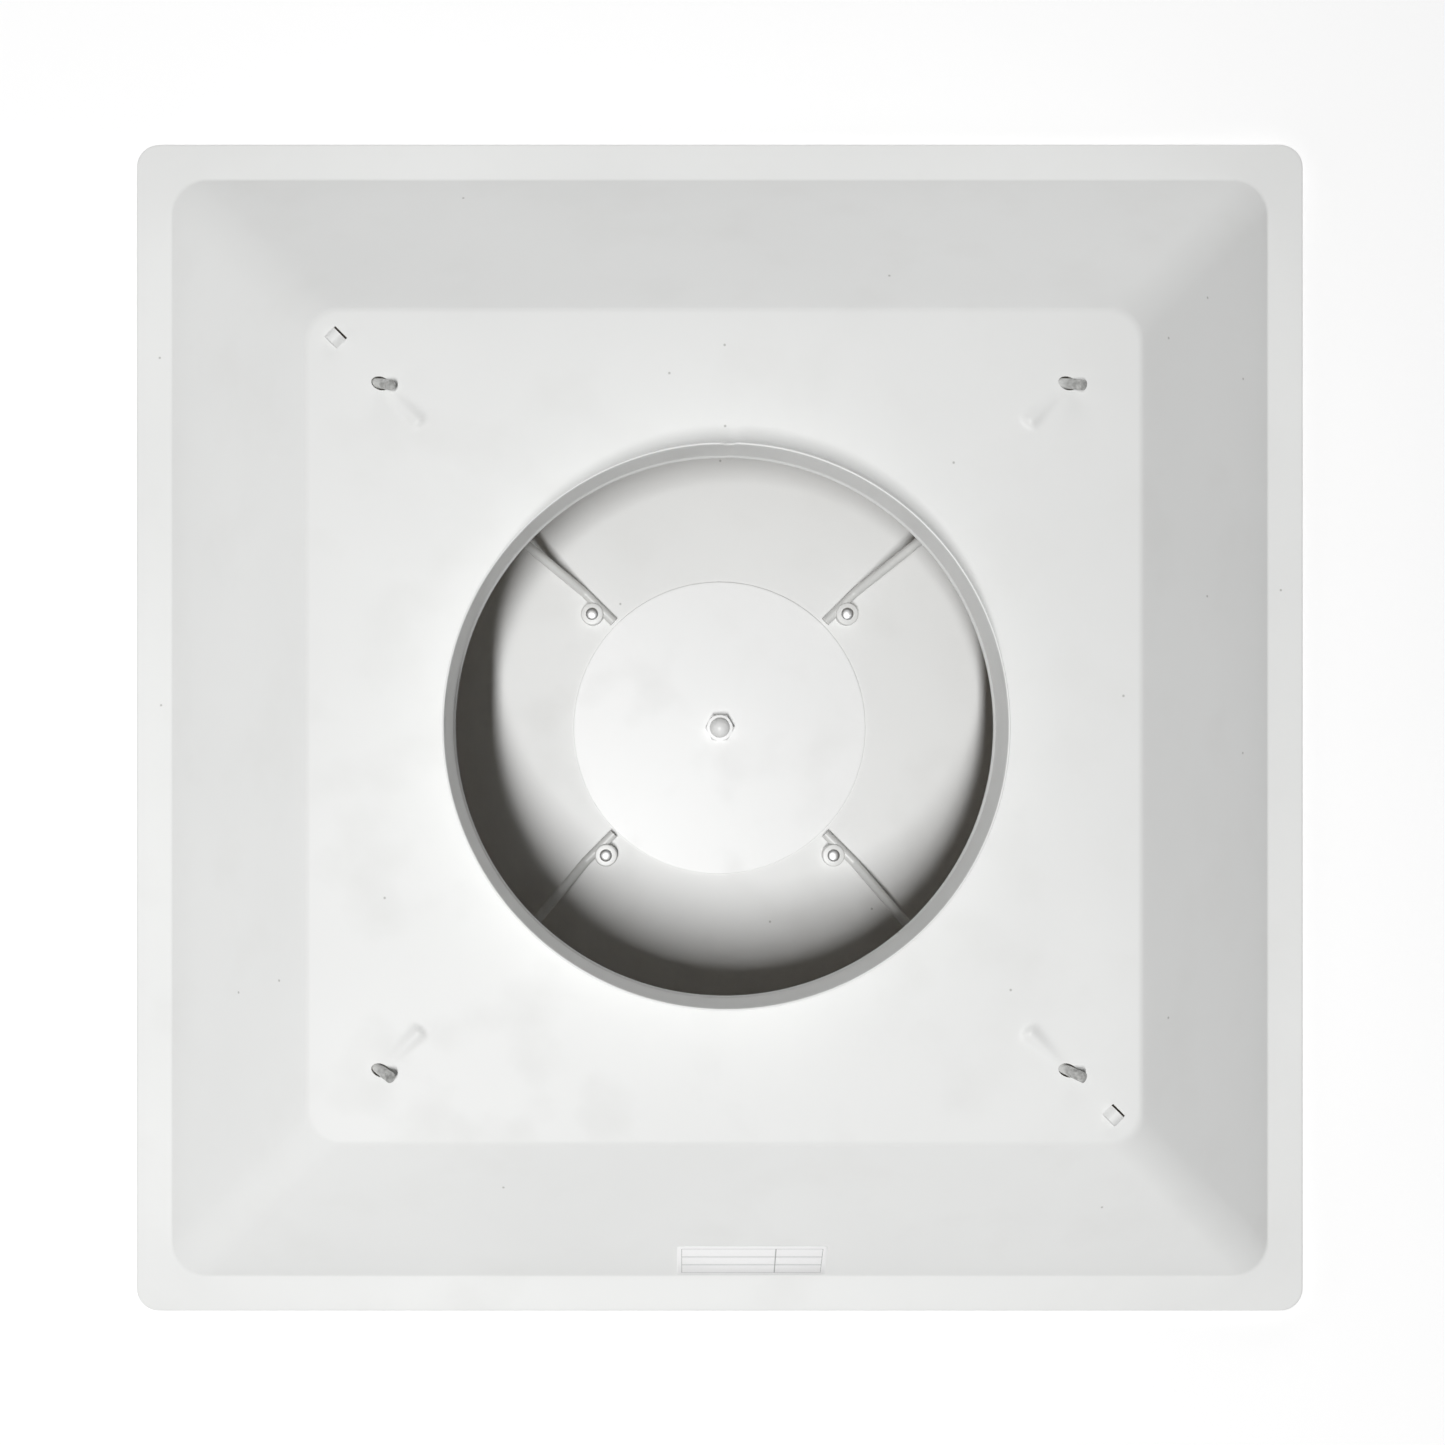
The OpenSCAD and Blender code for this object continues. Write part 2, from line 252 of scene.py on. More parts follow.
class SurfaceEffects:
    """The surface effects that several finishes share, each built once."""

    def __init__(self) -> None:
        """Builds the groups."""
        self.peel = self._peel()
        self.tone = self._tone()
        self.specks = self._specks()
        self.brushing = self._brushing()

    @staticmethod
    def _noise(
        sheet: NodeSheet, vector: bpy.types.NodeSocket, scale: object, detail: float
    ) -> bpy.types.NodeSocket:
        """Adds a noise texture.

        Args:
            sheet: the group's sheet.
            vector: the coordinates it reads.
            scale: its scale, a number or a socket.
            detail: number of its octaves.

        Returns:
            The noise's value.
        """
        noise = sheet.add("ShaderNodeTexNoise")
        sheet.link(vector, noise.inputs["Vector"])
        if isinstance(scale, bpy.types.NodeSocket):
            sheet.link(scale, noise.inputs["Scale"])
        else:
            noise.inputs["Scale"].default_value = scale
        noise.inputs["Detail"].default_value = detail
        return noise.outputs[0]

    def _peel(self) -> bpy.types.ShaderNodeTree:
        """Builds the fine waviness that powder coat cures with.

        Returns:
            The group.
        """
        sheet, source, result = shader_group(
            "powder_coat_peel",
            {"Vector": ("VECTOR", 0.0), "Waves per Metre": ("VALUE", 320.0), "Grit": ("VALUE", 0.25)},
            ["Height"],
        )
        waves = self._noise(sheet, source.outputs["Vector"], source.outputs["Waves per Metre"], 1.5)
        fine_scale = sheet.math("MULTIPLY", source.outputs["Waves per Metre"], 4.7)
        fine = self._noise(sheet, source.outputs["Vector"], fine_scale, 2.0)
        grit = sheet.math("MULTIPLY", fine, source.outputs["Grit"])
        sheet.link(sheet.math("ADD", waves, grit), result.inputs["Height"])
        return sheet.tree

    def _tone(self) -> bpy.types.ShaderNodeTree:
        """Builds slow patches of film thickness and of handling.

        Returns:
            The group.
        """
        sheet, source, result = shader_group(
            "coat_tone",
            {"Vector": ("VECTOR", 0.0), "Patches per Metre": ("VALUE", 9.0)},
            ["Tone", "Handling"],
        )
        patch = self._noise(sheet, source.outputs["Vector"], source.outputs["Patches per Metre"], 3.0)
        sheet.link(sheet.spread(patch, 0.0, 1.0, 0.35, 0.65), result.inputs["Tone"])
        finer = sheet.math("MULTIPLY", source.outputs["Patches per Metre"], 3.3)
        smear = self._noise(sheet, source.outputs["Vector"], finer, 5.0)
        sheet.link(sheet.spread(smear, 0.0, 1.0, 0.52, 0.74), result.inputs["Handling"])
        return sheet.tree

    @staticmethod
    def _specks() -> bpy.types.ShaderNodeTree:
        """Builds sparse small nibs of dust caught in a coat.

        Returns:
            The group.
        """
        sheet, source, result = shader_group(
            "coat_specks",
            {"Vector": ("VECTOR", 0.0), "Cells per Metre": ("VALUE", 40.0), "Share": ("VALUE", 0.05)},
            ["Specks"],
        )
        cells = sheet.add("ShaderNodeTexVoronoi", feature="F1", voronoi_dimensions="2D")
        sheet.link(source.outputs["Vector"], cells.inputs["Vector"])
        sheet.link(source.outputs["Cells per Metre"], cells.inputs["Scale"])
        dot = sheet.spread(cells.outputs["Distance"], 1.0, 0.0, 0.012, 0.03)
        pick = sheet.add("ShaderNodeSeparateColor")
        sheet.link(cells.outputs["Color"], pick.inputs[0])
        chosen = sheet.math("LESS_THAN", pick.outputs[0], source.outputs["Share"])
        sheet.link(sheet.math("MULTIPLY", dot, chosen), result.inputs["Specks"])
        return sheet.tree

    def _brushing(self) -> bpy.types.ShaderNodeTree:
        """Builds the fine turned lines of drawn steel around Z.

        Returns:
            The group.
        """
        sheet, source, result = shader_group(
            "drawn_lines",
            {"Vector": ("VECTOR", 0.0), "Lines per Metre": ("VALUE", 4000.0)},
            ["Lines"],
        )
        squash = sheet.add("ShaderNodeMapping")
        squash.inputs["Scale"].default_value = (0.08, 0.08, 1.0)
        sheet.link(source.outputs["Vector"], squash.inputs["Vector"])
        lines = self._noise(sheet, squash.outputs[0], source.outputs["Lines per Metre"], 3.0)
        sheet.link(lines, result.inputs["Lines"])
        return sheet.tree


class Finish:
    """A finish that can make its own material."""

    name: str

    def _start(self) -> tuple[bpy.types.Material, NodeSheet, bpy.types.Node, bpy.types.NodeSocket]:
        """Starts a material with one shader.

        Returns:
            The material, its sheet, its shader node and the object coordinates.
        """
        material = bpy.data.materials.new(self.name)
        material.use_nodes = True
        sheet = NodeSheet(material.node_tree)
        shader = material.node_tree.nodes["Principled BSDF"]
        place = sheet.add("ShaderNodeTexCoord").outputs["Object"]
        return material, sheet, shader, place

    @staticmethod
    def _place(
        sheet: NodeSheet, group: bpy.types.ShaderNodeTree, place: bpy.types.NodeSocket, **values: float
    ) -> bpy.types.Node:
        """Places a shared effect with this finish's own values.

        Args:
            sheet: the material's sheet.
            group: the shared effect.
            place: the coordinates it reads.
            **values: socket values, with spaces written as underscores.

        Returns:
            The group node.
        """
        node = sheet.add("ShaderNodeGroup", group.name)
        node.node_tree = group
        sheet.link(place, node.inputs["Vector"])
        for key, value in values.items():
            node.inputs[key.replace("_", " ")].default_value = value
        return node

    @staticmethod
    def _bump(
        sheet: NodeSheet,
        shader: bpy.types.Node,
        height: bpy.types.NodeSocket,
        strength: float,
        depth: float,
    ) -> None:
        """Feeds a height into the shader's normal.

        Args:
            sheet: the material's sheet.
            shader: the material's shader.
            height: the height.
            strength: share of the bump that shows.
            depth: depth of a height of 1, in metres.
        """
        bump = sheet.add("ShaderNodeBump")
        bump.inputs["Strength"].default_value = strength
        bump.inputs["Distance"].default_value = depth
        sheet.link(height, bump.inputs["Height"])
        sheet.link(bump.outputs["Normal"], shader.inputs["Normal"])


@dataclass(frozen=True)
class PowderCoat(Finish):
    """White powder coat on steel sheet or wire.

    Attributes:
        name: the material's name.
        colour: colour of a full film.
        thin_colour: colour where the film is thinner.
        gloss: roughness of the film, where less is glossier.
        waves: waves of the film per metre.
        peel: depth of the waves in metres.
        speck_share: share of the cells that hold a nib.
        scuffed_above: height in metres from which the coat is scuffed to grey.
        handled_colour: colour of the film's handled patches.
        handled_share: how far the handled patches turn to it.
        nib_colour: colour of a nib.
        nib_share: how far a nib turns to it.
        scuff_colour: colour of the scuffs.
    """

    name: str
    colour: Colour
    thin_colour: Colour
    gloss: float = 0.42
    waves: float = 300.0
    peel: float = 0.00006
    speck_share: float = 0.04
    scuffed_above: float = 1.0
    handled_colour: Colour = (0.70, 0.69, 0.66)
    handled_share: float = 0.1
    nib_colour: Colour = (0.30, 0.29, 0.27)
    nib_share: float = 0.6
    scuff_colour: Colour = (0.27, 0.27, 0.26)

    def material(self, effects: SurfaceEffects) -> bpy.types.Material:
        """Makes the material.

        Args:
            effects: the shared surface effects.

        Returns:
            The finished material.
        """
        material, sheet, shader, place = self._start()
        tone = self._place(sheet, effects.tone, place, Patches_per_Metre=8.0)
        specks = self._place(
            sheet, effects.specks, place, Cells_per_Metre=38.0, Share=self.speck_share
        )
        peel = self._place(sheet, effects.peel, place, Waves_per_Metre=self.waves, Grit=0.2)
        film = sheet.mix(tone.outputs["Tone"], self.thin_colour, self.colour)
        handled = sheet.math("MULTIPLY", tone.outputs["Handling"], self.handled_share)
        worn = sheet.mix(handled, film, self.handled_colour)
        nib = sheet.math("MULTIPLY", specks.outputs["Specks"], self.nib_share)
        coat = sheet.mix(nib, worn, self.nib_colour)
        if self.scuffed_above < 1.0:
            coat = self._scuffed(sheet, effects, place, coat)
        sheet.link(coat, shader.inputs["Base Color"])
        rough = sheet.spread(tone.outputs["Handling"], self.gloss, self.gloss + 0.1)
        sheet.link(rough, shader.inputs["Roughness"])
        raised = sheet.math("ADD", peel.outputs["Height"], specks.outputs["Specks"])
        self._bump(sheet, shader, raised, 0.5, self.peel)
        shader.inputs["IOR"].default_value = 1.5
        return material

    def _scuffed(
        self,
        sheet: NodeSheet,
        effects: SurfaceEffects,
        place: bpy.types.NodeSocket,
        coat: bpy.types.NodeSocket,
    ) -> bpy.types.NodeSocket:
        """Scuffs the coat to grey above a height, in patches.

        Args:
            sheet: the material's sheet.
            effects: the shared surface effects.
            place: the object coordinates.
            coat: the coat's colour.

        Returns:
            The scuffed colour's socket.
        """
        axes = sheet.add("ShaderNodeSeparateXYZ")
        sheet.link(place, axes.inputs[0])
        fade = 0.003
        start = self.scuffed_above
        reach = sheet.spread(axes.outputs["Z"], 0.0, 1.0, start, start + fade)
        rub = self._place(sheet, effects.tone, place, Patches_per_Metre=420.0)
        patch = sheet.spread(rub.outputs["Tone"], 0.3, 0.9)
        return sheet.mix(sheet.math("MULTIPLY", reach, patch), coat, self.scuff_colour)


@dataclass(frozen=True)
class ZincSteel(Finish):
    """Zinc-plated steel of studs and rivets.

    Attributes:
        name: the material's name.
        colour: colour of clean plating.
        dull_colour: colour of dulled plating.
        smooth: roughness on the drawn lines' peaks.
        rough: roughness in the lines.
    """

    name: str = "zinc_plated_steel"
    colour: Colour = (0.80, 0.81, 0.82)
    dull_colour: Colour = (0.62, 0.62, 0.61)
    smooth: float = 0.38
    rough: float = 0.62

    def material(self, effects: SurfaceEffects) -> bpy.types.Material:
        """Makes the material.

        Args:
            effects: the shared surface effects.

        Returns:
            The finished material.
        """
        material, sheet, shader, place = self._start()
        tone = self._place(sheet, effects.tone, place, Patches_per_Metre=260.0)
        lines = self._place(sheet, effects.brushing, place, Lines_per_Metre=5200.0)
        plating = sheet.mix(tone.outputs["Tone"], self.dull_colour, self.colour)
        sheet.link(plating, shader.inputs["Base Color"])
        shader.inputs["Metallic"].default_value = 1.0
        gloss = sheet.spread(lines.outputs["Lines"], self.smooth, self.rough)
        sheet.link(gloss, shader.inputs["Roughness"])
        self._bump(sheet, shader, lines.outputs["Lines"], 0.25, 0.00002)
        return material


@dataclass(frozen=True)
class LabelFilm(Finish):
    """Paper label under a film, ruled with plain lines and otherwise blank.

    Attributes:
        centre: the label's middle, in metres.
        slope: its angle from the flat, in radians.
        width: its width, in metres.
        height: its height along the slope, in metres.
        name: the material's name.
        colour: colour of the paper.
        fibre_colour: colour of the paper's fibres.
        ink: colour of the rules.
        margin: distance of the rules from the paper's edge, in metres.
        rule: half width of a rule, in metres.
    """

    centre: tuple[float, float, float]
    slope: float
    width: float
    height: float
    name: str = "blank_label_film"
    colour: Colour = (0.96, 0.96, 0.96)
    fibre_colour: Colour = (0.92, 0.92, 0.92)
    ink: Colour = (0.42, 0.42, 0.42)
    margin: float = 0.0022
    rule: float = 0.0003

    def _band(
        self, sheet: NodeSheet, value: bpy.types.NodeSocket, middle: float, half: float
    ) -> bpy.types.NodeSocket:
        """Mask of the places whose value is within a distance of a middle.

        Args:
            sheet: the material's sheet.
            value: the value.
            middle: middle of the band.
            half: half width of the band.

        Returns:
            The mask's socket.
        """
        off = sheet.math("ABSOLUTE", sheet.math("SUBTRACT", value, middle))
        return sheet.math("LESS_THAN", off, half)

    def material(self, effects: SurfaceEffects) -> bpy.types.Material:
        """Makes the material.

        Args:
            effects: the shared surface effects.

        Returns:
            The finished material.
        """
        material, sheet, shader, place = self._start()
        tone = self._place(sheet, effects.tone, place, Patches_per_Metre=60.0)
        fibre = self._place(sheet, effects.peel, place, Waves_per_Metre=900.0, Grit=0.6)
        mask = sheet.spread(fibre.outputs["Height"], 0.0, 1.0, 0.4, 0.85)
        paper = sheet.mix(mask, self.fibre_colour, self.colour)
        back = Matrix.Rotation(-self.slope, 3, "X")
        lay = sheet.add("ShaderNodeMapping", "label's own axes")
        lay.inputs["Rotation"].default_value = (-self.slope, 0.0, 0.0)
        lay.inputs["Location"].default_value = back @ -Vector(self.centre)
        sheet.link(place, lay.inputs["Vector"])
        axes = sheet.add("ShaderNodeSeparateXYZ")
        sheet.link(lay.outputs[0], axes.inputs[0])
        across, up = axes.outputs["X"], axes.outputs["Y"]
        reach, rise = self.width / 2 - self.margin, self.height / 2 - self.margin
        inside = sheet.math(
            "MULTIPLY", self._band(sheet, across, 0.0, reach), self._band(sheet, up, 0.0, rise)
        )
        level = [(up, line) for line in (-rise, -rise / 3, rise / 3, rise)]
        upright = [(across, line) for line in (-reach, reach / 3, reach)]
        drawn: object = 0.0
        for value, line in level + upright:
            drawn = sheet.math("MAXIMUM", drawn, self._band(sheet, value, line, self.rule))
        inked = sheet.math("MULTIPLY", drawn, inside)
        sheet.link(sheet.mix(inked, paper, self.ink), shader.inputs["Base Color"])
        sheet.link(sheet.spread(tone.outputs["Handling"], 0.36, 0.5), shader.inputs["Roughness"])
        self._bump(sheet, shader, fibre.outputs["Height"], 0.3, 0.00003)
        return material


@dataclass(frozen=True)
class StudioFloor(Finish):
    """Plain pale floor of the studio.

    Attributes:
        name: the material's name.
        colour: the floor's colour.
        shade: the colour of its slow patches.
        glow: brightness of its own that keeps it white.
    """

    name: str = "studio_floor"
    colour: Colour = (0.96, 0.96, 0.96)
    shade: Colour = (0.95, 0.95, 0.95)
    glow: float = 0.16

    def material(self, effects: SurfaceEffects) -> bpy.types.Material:
        """Makes the material.

        Args:
            effects: the shared surface effects.

        Returns:
            The finished material.
        """
        material, sheet, shader, place = self._start()
        tone = self._place(sheet, effects.tone, place, Patches_per_Metre=3.0)
        paint = sheet.mix(tone.outputs["Tone"], self.shade, self.colour)
        sheet.link(paint, shader.inputs["Base Color"])
        shader.inputs["Roughness"].default_value = 0.8
        shader.inputs["Specular IOR Level"].default_value = 0.1
        shader.inputs["Emission Color"].default_value = (1.0, 1.0, 1.0, 1.0)
        shader.inputs["Emission Strength"].default_value = self.glow
        return material


@dataclass
class Finishes:
    """All finishes of the diffuser, made once.

    Attributes:
        effects: the surface effects that they share.
    """

    effects: SurfaceEffects = field(default_factory=SurfaceEffects)

    def __post_init__(self) -> None:
        """Makes the materials."""
        white: Colour = (0.86, 0.865, 0.855)
        thin: Colour = (0.835, 0.84, 0.83)
        make = self.effects
        self.pan = PowderCoat("pan_coat", white, thin, gloss=0.52).material(make)
        self.collar = PowderCoat("collar_coat", white, thin, gloss=0.36, waves=340.0).material(make)
        # The pan's inside faces get a dark brown coat: painted shade for the deep warm shade under the
        # plateau, not a colour of the real white coat.
        self.pan_inside = PowderCoat(
            "pan_inside_coat", (0.26, 0.205, 0.14), (0.20, 0.16, 0.11), gloss=0.55
        ).material(make)
        self.plaque = PowderCoat(
            "plaque_coat", (0.865, 0.87, 0.86), (0.84, 0.845, 0.835), gloss=0.50
        ).material(make)
        self.disc = PowderCoat(
            "disc_coat", (0.91, 0.915, 0.91), (0.895, 0.90, 0.895), gloss=0.38
        ).material(make)
        self.fitting = PowderCoat(
            "fitting_coat",
            (0.80, 0.805, 0.79),
            (0.76, 0.765, 0.75),
            gloss=0.33,
            waves=700.0,
            peel=0.00003,
            speck_share=0.01,
        ).material(make)
        self.wire = PowderCoat(
            "wire_coat",
            (0.76, 0.765, 0.75),
            (0.69, 0.695, 0.68),
            gloss=0.34,
            waves=620.0,
            peel=0.00004,
            scuffed_above=0.0865,
        ).material(make)
        self.steel = ZincSteel().material(make)
        self.floor = StudioFloor().material(make)


# ---------------------------------------------------------------------------
# Mesh building
# ---------------------------------------------------------------------------


def placed(name: str, data: bpy.types.ID) -> bpy.types.Object:
    """Puts a mesh, a lamp or a camera in the scene as an object at the origin.

    Args:
        name: the object's name.
        data: its mesh, lamp or camera.

    Returns:
        The object.
    """
    thing = bpy.data.objects.new(name, data)
    bpy.context.scene.collection.objects.link(thing)
    return thing


def mesh_object(name: str, mesh: bpy.types.Mesh, sharp: float = 35.0) -> bpy.types.Object:
    """Puts a mesh in the scene as one object at the origin, smooth but for its sharp edges.

    Args:
        name: the object's name.
        mesh: the mesh, in metres.
        sharp: angle in degrees above which an edge is sharp.

    Returns:
        The object.
    """
    mesh.name = name
    mesh.shade_smooth()
    mesh.set_sharp_from_angle(angle=math.radians(sharp))
    return placed(name, mesh)


def mesh_from_bmesh(shape: bmesh.types.BMesh, weld: float = 1e-6) -> bpy.types.Mesh:
    """Welds a bmesh, turns its faces outwards and writes it to a mesh.

    Args:
        shape: the bmesh, which is freed.
        weld: distance in metres below which vertices become one.

    Returns:
        The mesh.
    """
    bmesh.ops.remove_doubles(shape, verts=shape.verts, dist=weld)
    bmesh.ops.recalc_face_normals(shape, faces=shape.faces)
    mesh = bpy.data.meshes.new("shape")
    shape.to_mesh(mesh)
    shape.free()
    return mesh


def applied(thing: bpy.types.Object) -> bpy.types.Mesh:
    """Evaluates an object with its modifiers and returns the plain result.

    Args:
        thing: the object, which is removed.

    Returns:
        The evaluated mesh.
    """
    graph = bpy.context.evaluated_depsgraph_get()
    graph.update()
    result = bpy.data.meshes.new_from_object(thing.evaluated_get(graph), depsgraph=graph)
    old = thing.data
    bpy.data.objects.remove(thing)
    if old.users == 0:
        bpy.data.meshes.remove(old)
    return result


def thickened(
    mesh: bpy.types.Mesh, thickness: float, finishes: Sequence[bpy.types.Material]
) -> bpy.types.Mesh:
    """Gives a single surface a thickness, half of it on each side.

    Args:
        mesh: the open surface, with its faces turned outwards.
        thickness: thickness in metres.
        finishes: finish of the outside, and of the inside where it differs.

    Returns:
        The closed sheet.
    """
    for finish in finishes:
        mesh.materials.append(finish)
    thing = placed("sheet", mesh)
    solid = thing.modifiers.new("sheet thickness", "SOLIDIFY")
    solid.material_offset = len(finishes) - 1
    solid.thickness = thickness
    solid.offset = 0.0
    solid.use_even_offset = True
    solid.use_rim = True
    return applied(thing)


def circle(radius: float, z: float, count: int) -> list[Vector]:
    """Points of a circle around Z, anticlockwise from above.

    Args:
        radius: its radius.
        z: its height.
        count: number of points.

    Returns:
        The points.
    """
    angles = [2 * math.pi * k / count for k in range(count)]
    return [Vector((radius * math.cos(a), radius * math.sin(a), z)) for a in angles]


def rounded_square(
    half: float, radius: float, z: float, sides: int = 24, turns: int = 12
) -> list[Vector]:
    """Points of a rounded square, anticlockwise from above, in millimetres.

    Args:
        half: half of the square's width.
        radius: radius of its corners.
        z: its height.
        sides: steps along each straight side.
        turns: steps around each corner.

    Returns:
        The points, the same number for any size.
    """
    flat = half - radius
    corners: list[list[Vector]] = []
    for quarter, (sign_x, sign_y) in enumerate(QUARTERS):
        centre = Vector((sign_x * flat, sign_y * flat, z))
        angles = [math.radians(90 * quarter + 90 * step / turns) for step in range(turns + 1)]
        corners.append([centre + radius * Vector((math.cos(a), math.sin(a), 0)) for a in angles])
    points: list[Vector] = []
    for corner, following in zip(corners, corners[1:] + corners[:1]):
        points += corner
        end, start = corner[-1], following[0]
        points += [end.lerp(start, step / sides) for step in range(1, sides)]
    return points


def loft(
    shape: bmesh.types.BMesh, rings: Sequence[Sequence[Vector]], close: bool = False
) -> list[list[bmesh.types.BMVert]]:
    """Joins rings of points, given in millimetres, with quads.

    Args:
        shape: the bmesh that receives them.
        rings: rings with equal numbers of points.
        close: whether the last ring joins the first.

    Returns:
        The rings' vertices.
    """
    rows = [[shape.verts.new(point * MM) for point in ring] for ring in rings]
    pairs = list(zip(rows, rows[1:]))
    if close:
        pairs.append((rows[-1], rows[0]))
    for low, high in pairs:
        count = len(low)
        for i in range(count):
            j = (i + 1) % count
            shape.faces.new((low[i], low[j], high[j], high[i]))
    return rows


def close_dome(
    shape: bmesh.types.BMesh, rows: Sequence[Sequence[bmesh.types.BMVert]], top: float
) -> None:
    """Closes a lofted dome with a flat face below and a fan up to its crown.

    Args:
        shape: the bmesh that receives the faces.
        rows: the dome's rings of vertices, from the lowest.
        top: height of the crown in millimetres.
    """
    shape.faces.new(rows[0])
    crown = shape.verts.new(Vector((0, 0, top)) * MM)
    last = rows[-1]
    for i, vertex in enumerate(last):
        shape.faces.new((vertex, last[(i + 1) % len(last)], crown))


def revolved(profile: Sequence[tuple[float, float]], segments: int) -> bpy.types.Mesh:
    """Turns a closed profile around Z.

    Args:
        profile: points (radius, height) in millimetres, around the profile.
        segments: number of steps around.

    Returns:
        The closed ring.
    """
    shape = bmesh.new()
    loft(shape, [circle(r, z, segments) for r, z in profile], close=True)
    return mesh_from_bmesh(shape)


def arc(
    centre: tuple[float, float], radius: float, start: float, stop: float, steps: int
) -> list[tuple[float, float]]:
    """Points of an arc in a profile.

    Args:
        centre: the arc's centre.
        radius: its radius.
        start: first angle in degrees.
        stop: last angle in degrees.
        steps: number of steps.

    Returns:
        The points from start to stop.
    """
    angles = [math.radians(start + (stop - start) * k / steps) for k in range(steps + 1)]
    return [(centre[0] + radius * math.cos(a), centre[1] + radius * math.sin(a)) for a in angles]


def ribbon(middle: Sequence[tuple[float, float]], thickness: float) -> list[tuple[float, float]]:
    """Outline of a strip around a middle line in a profile.

    Args:
        middle: points of the middle line.
        thickness: thickness of the strip.

    Returns:
        The closed outline: out along one side and back along the other.
    """
    left: list[tuple[float, float]] = []
    right: list[tuple[float, float]] = []
    for i, (x, z) in enumerate(middle):
        before = Vector(middle[max(i - 1, 0)])
        after = Vector(middle[min(i + 1, len(middle) - 1)])
        along = (after - before).normalized()
        side = Vector((-along.y, along.x)) * thickness / 2
        left.append((x + side.x, z + side.y))
        right.append((x - side.x, z - side.y))
    return left + right[::-1]


# ---------------------------------------------------------------------------
# Geometry Nodes
# ---------------------------------------------------------------------------


class GeometryTree:
    """A Geometry Nodes tree with named inputs, used as a modifier once."""

    def __init__(self, name: str, inputs: dict[str, tuple[str, object]]) -> None:
        """Starts the tree.

        Args:
            name: the tree's name.
            inputs: socket names with their type, such as Float, and default.
        """
        self.tree = bpy.data.node_groups.new(name, "GeometryNodeTree")
        self.tree.is_modifier = True
        interface = self.tree.interface
        interface.new_socket("Geometry", in_out="INPUT", socket_type="NodeSocketGeometry")
        self.ids: dict[str, str] = {}
        for label, (kind, default) in inputs.items():
            socket = interface.new_socket(label, in_out="INPUT", socket_type=f"NodeSocket{kind}")
            if default is not None:
                socket.default_value = default
            self.ids[label] = socket.identifier
        interface.new_socket("Geometry", in_out="OUTPUT", socket_type="NodeSocketGeometry")
        self.sheet = NodeSheet(self.tree)
        self.source = self.sheet.add("NodeGroupInput")
        self.result = self.sheet.add("NodeGroupOutput")

    def given(self, name: str) -> bpy.types.NodeSocket:
        """Returns the socket of one named input."""
        return self.source.outputs[name]

    def finish(self, geometry: bpy.types.NodeSocket) -> None:
        """Ends the tree with Realize Instances and Set Material.

        Args:
            geometry: the geometry that the tree has made.
        """
        real = self.sheet.add("GeometryNodeRealizeInstances")
        dress = self.sheet.add("GeometryNodeSetMaterial")
        self.sheet.link(geometry, real.inputs[0])
        self.sheet.link(real.outputs[0], dress.inputs["Geometry"])
        self.sheet.link(self.given("Material"), dress.inputs["Material"])
        self.sheet.link(dress.outputs[0], self.result.inputs[0])

    def run(
        self, name: str, base: bpy.types.Mesh, sharp: float = 35.0, **values: object
    ) -> bpy.types.Object:
        """Runs the tree on a base mesh and keeps the plain result.

        Args:
            name: name of the finished object.
            base: the mesh that the tree starts from.
            sharp: angle in degrees above which an edge is sharp.
            **values: input values, with spaces written as underscores.

        Returns:
            The finished object.
        """
        thing = placed("source", base)
        modifier = thing.modifiers.new(name, "NODES")
        modifier.node_group = self.tree
        for key, value in values.items():
            modifier[self.ids[key.replace("_", " ")]] = value
        return mesh_object(name, applied(thing), sharp)


def line_mesh(points: Iterable[Vector], closed: bool = False) -> bpy.types.Mesh:
    """Mesh of edges through points given in millimetres.

    Args:
        points: the points.
        closed: whether the last point joins the first.

    Returns:
        The mesh.
    """
    places = [tuple(point * MM) for point in points]
    edges = [(i, i + 1) for i in range(len(places) - 1)]
    if closed:
        edges.append((len(places) - 1, 0))
    mesh = bpy.data.meshes.new("line")
    mesh.from_pydata(places, edges, [])
    return mesh


def point_mesh(points: Sequence[Vector], turns: Sequence[float]) -> bpy.types.Mesh:
    """Mesh of loose points, in millimetres, each with its turn about Z.

    Args:
        points: the points.
        turns: turn of each point, in radians.

    Returns:
        The mesh, with the turns in the attribute "turn".
    """
    mesh = bpy.data.meshes.new("points")
    mesh.from_pydata([tuple(point * MM) for point in points], [], [])
    turn = mesh.attributes.new("turn", "FLOAT", "POINT")
    turn.data.foreach_set("value", list(turns))
    return mesh


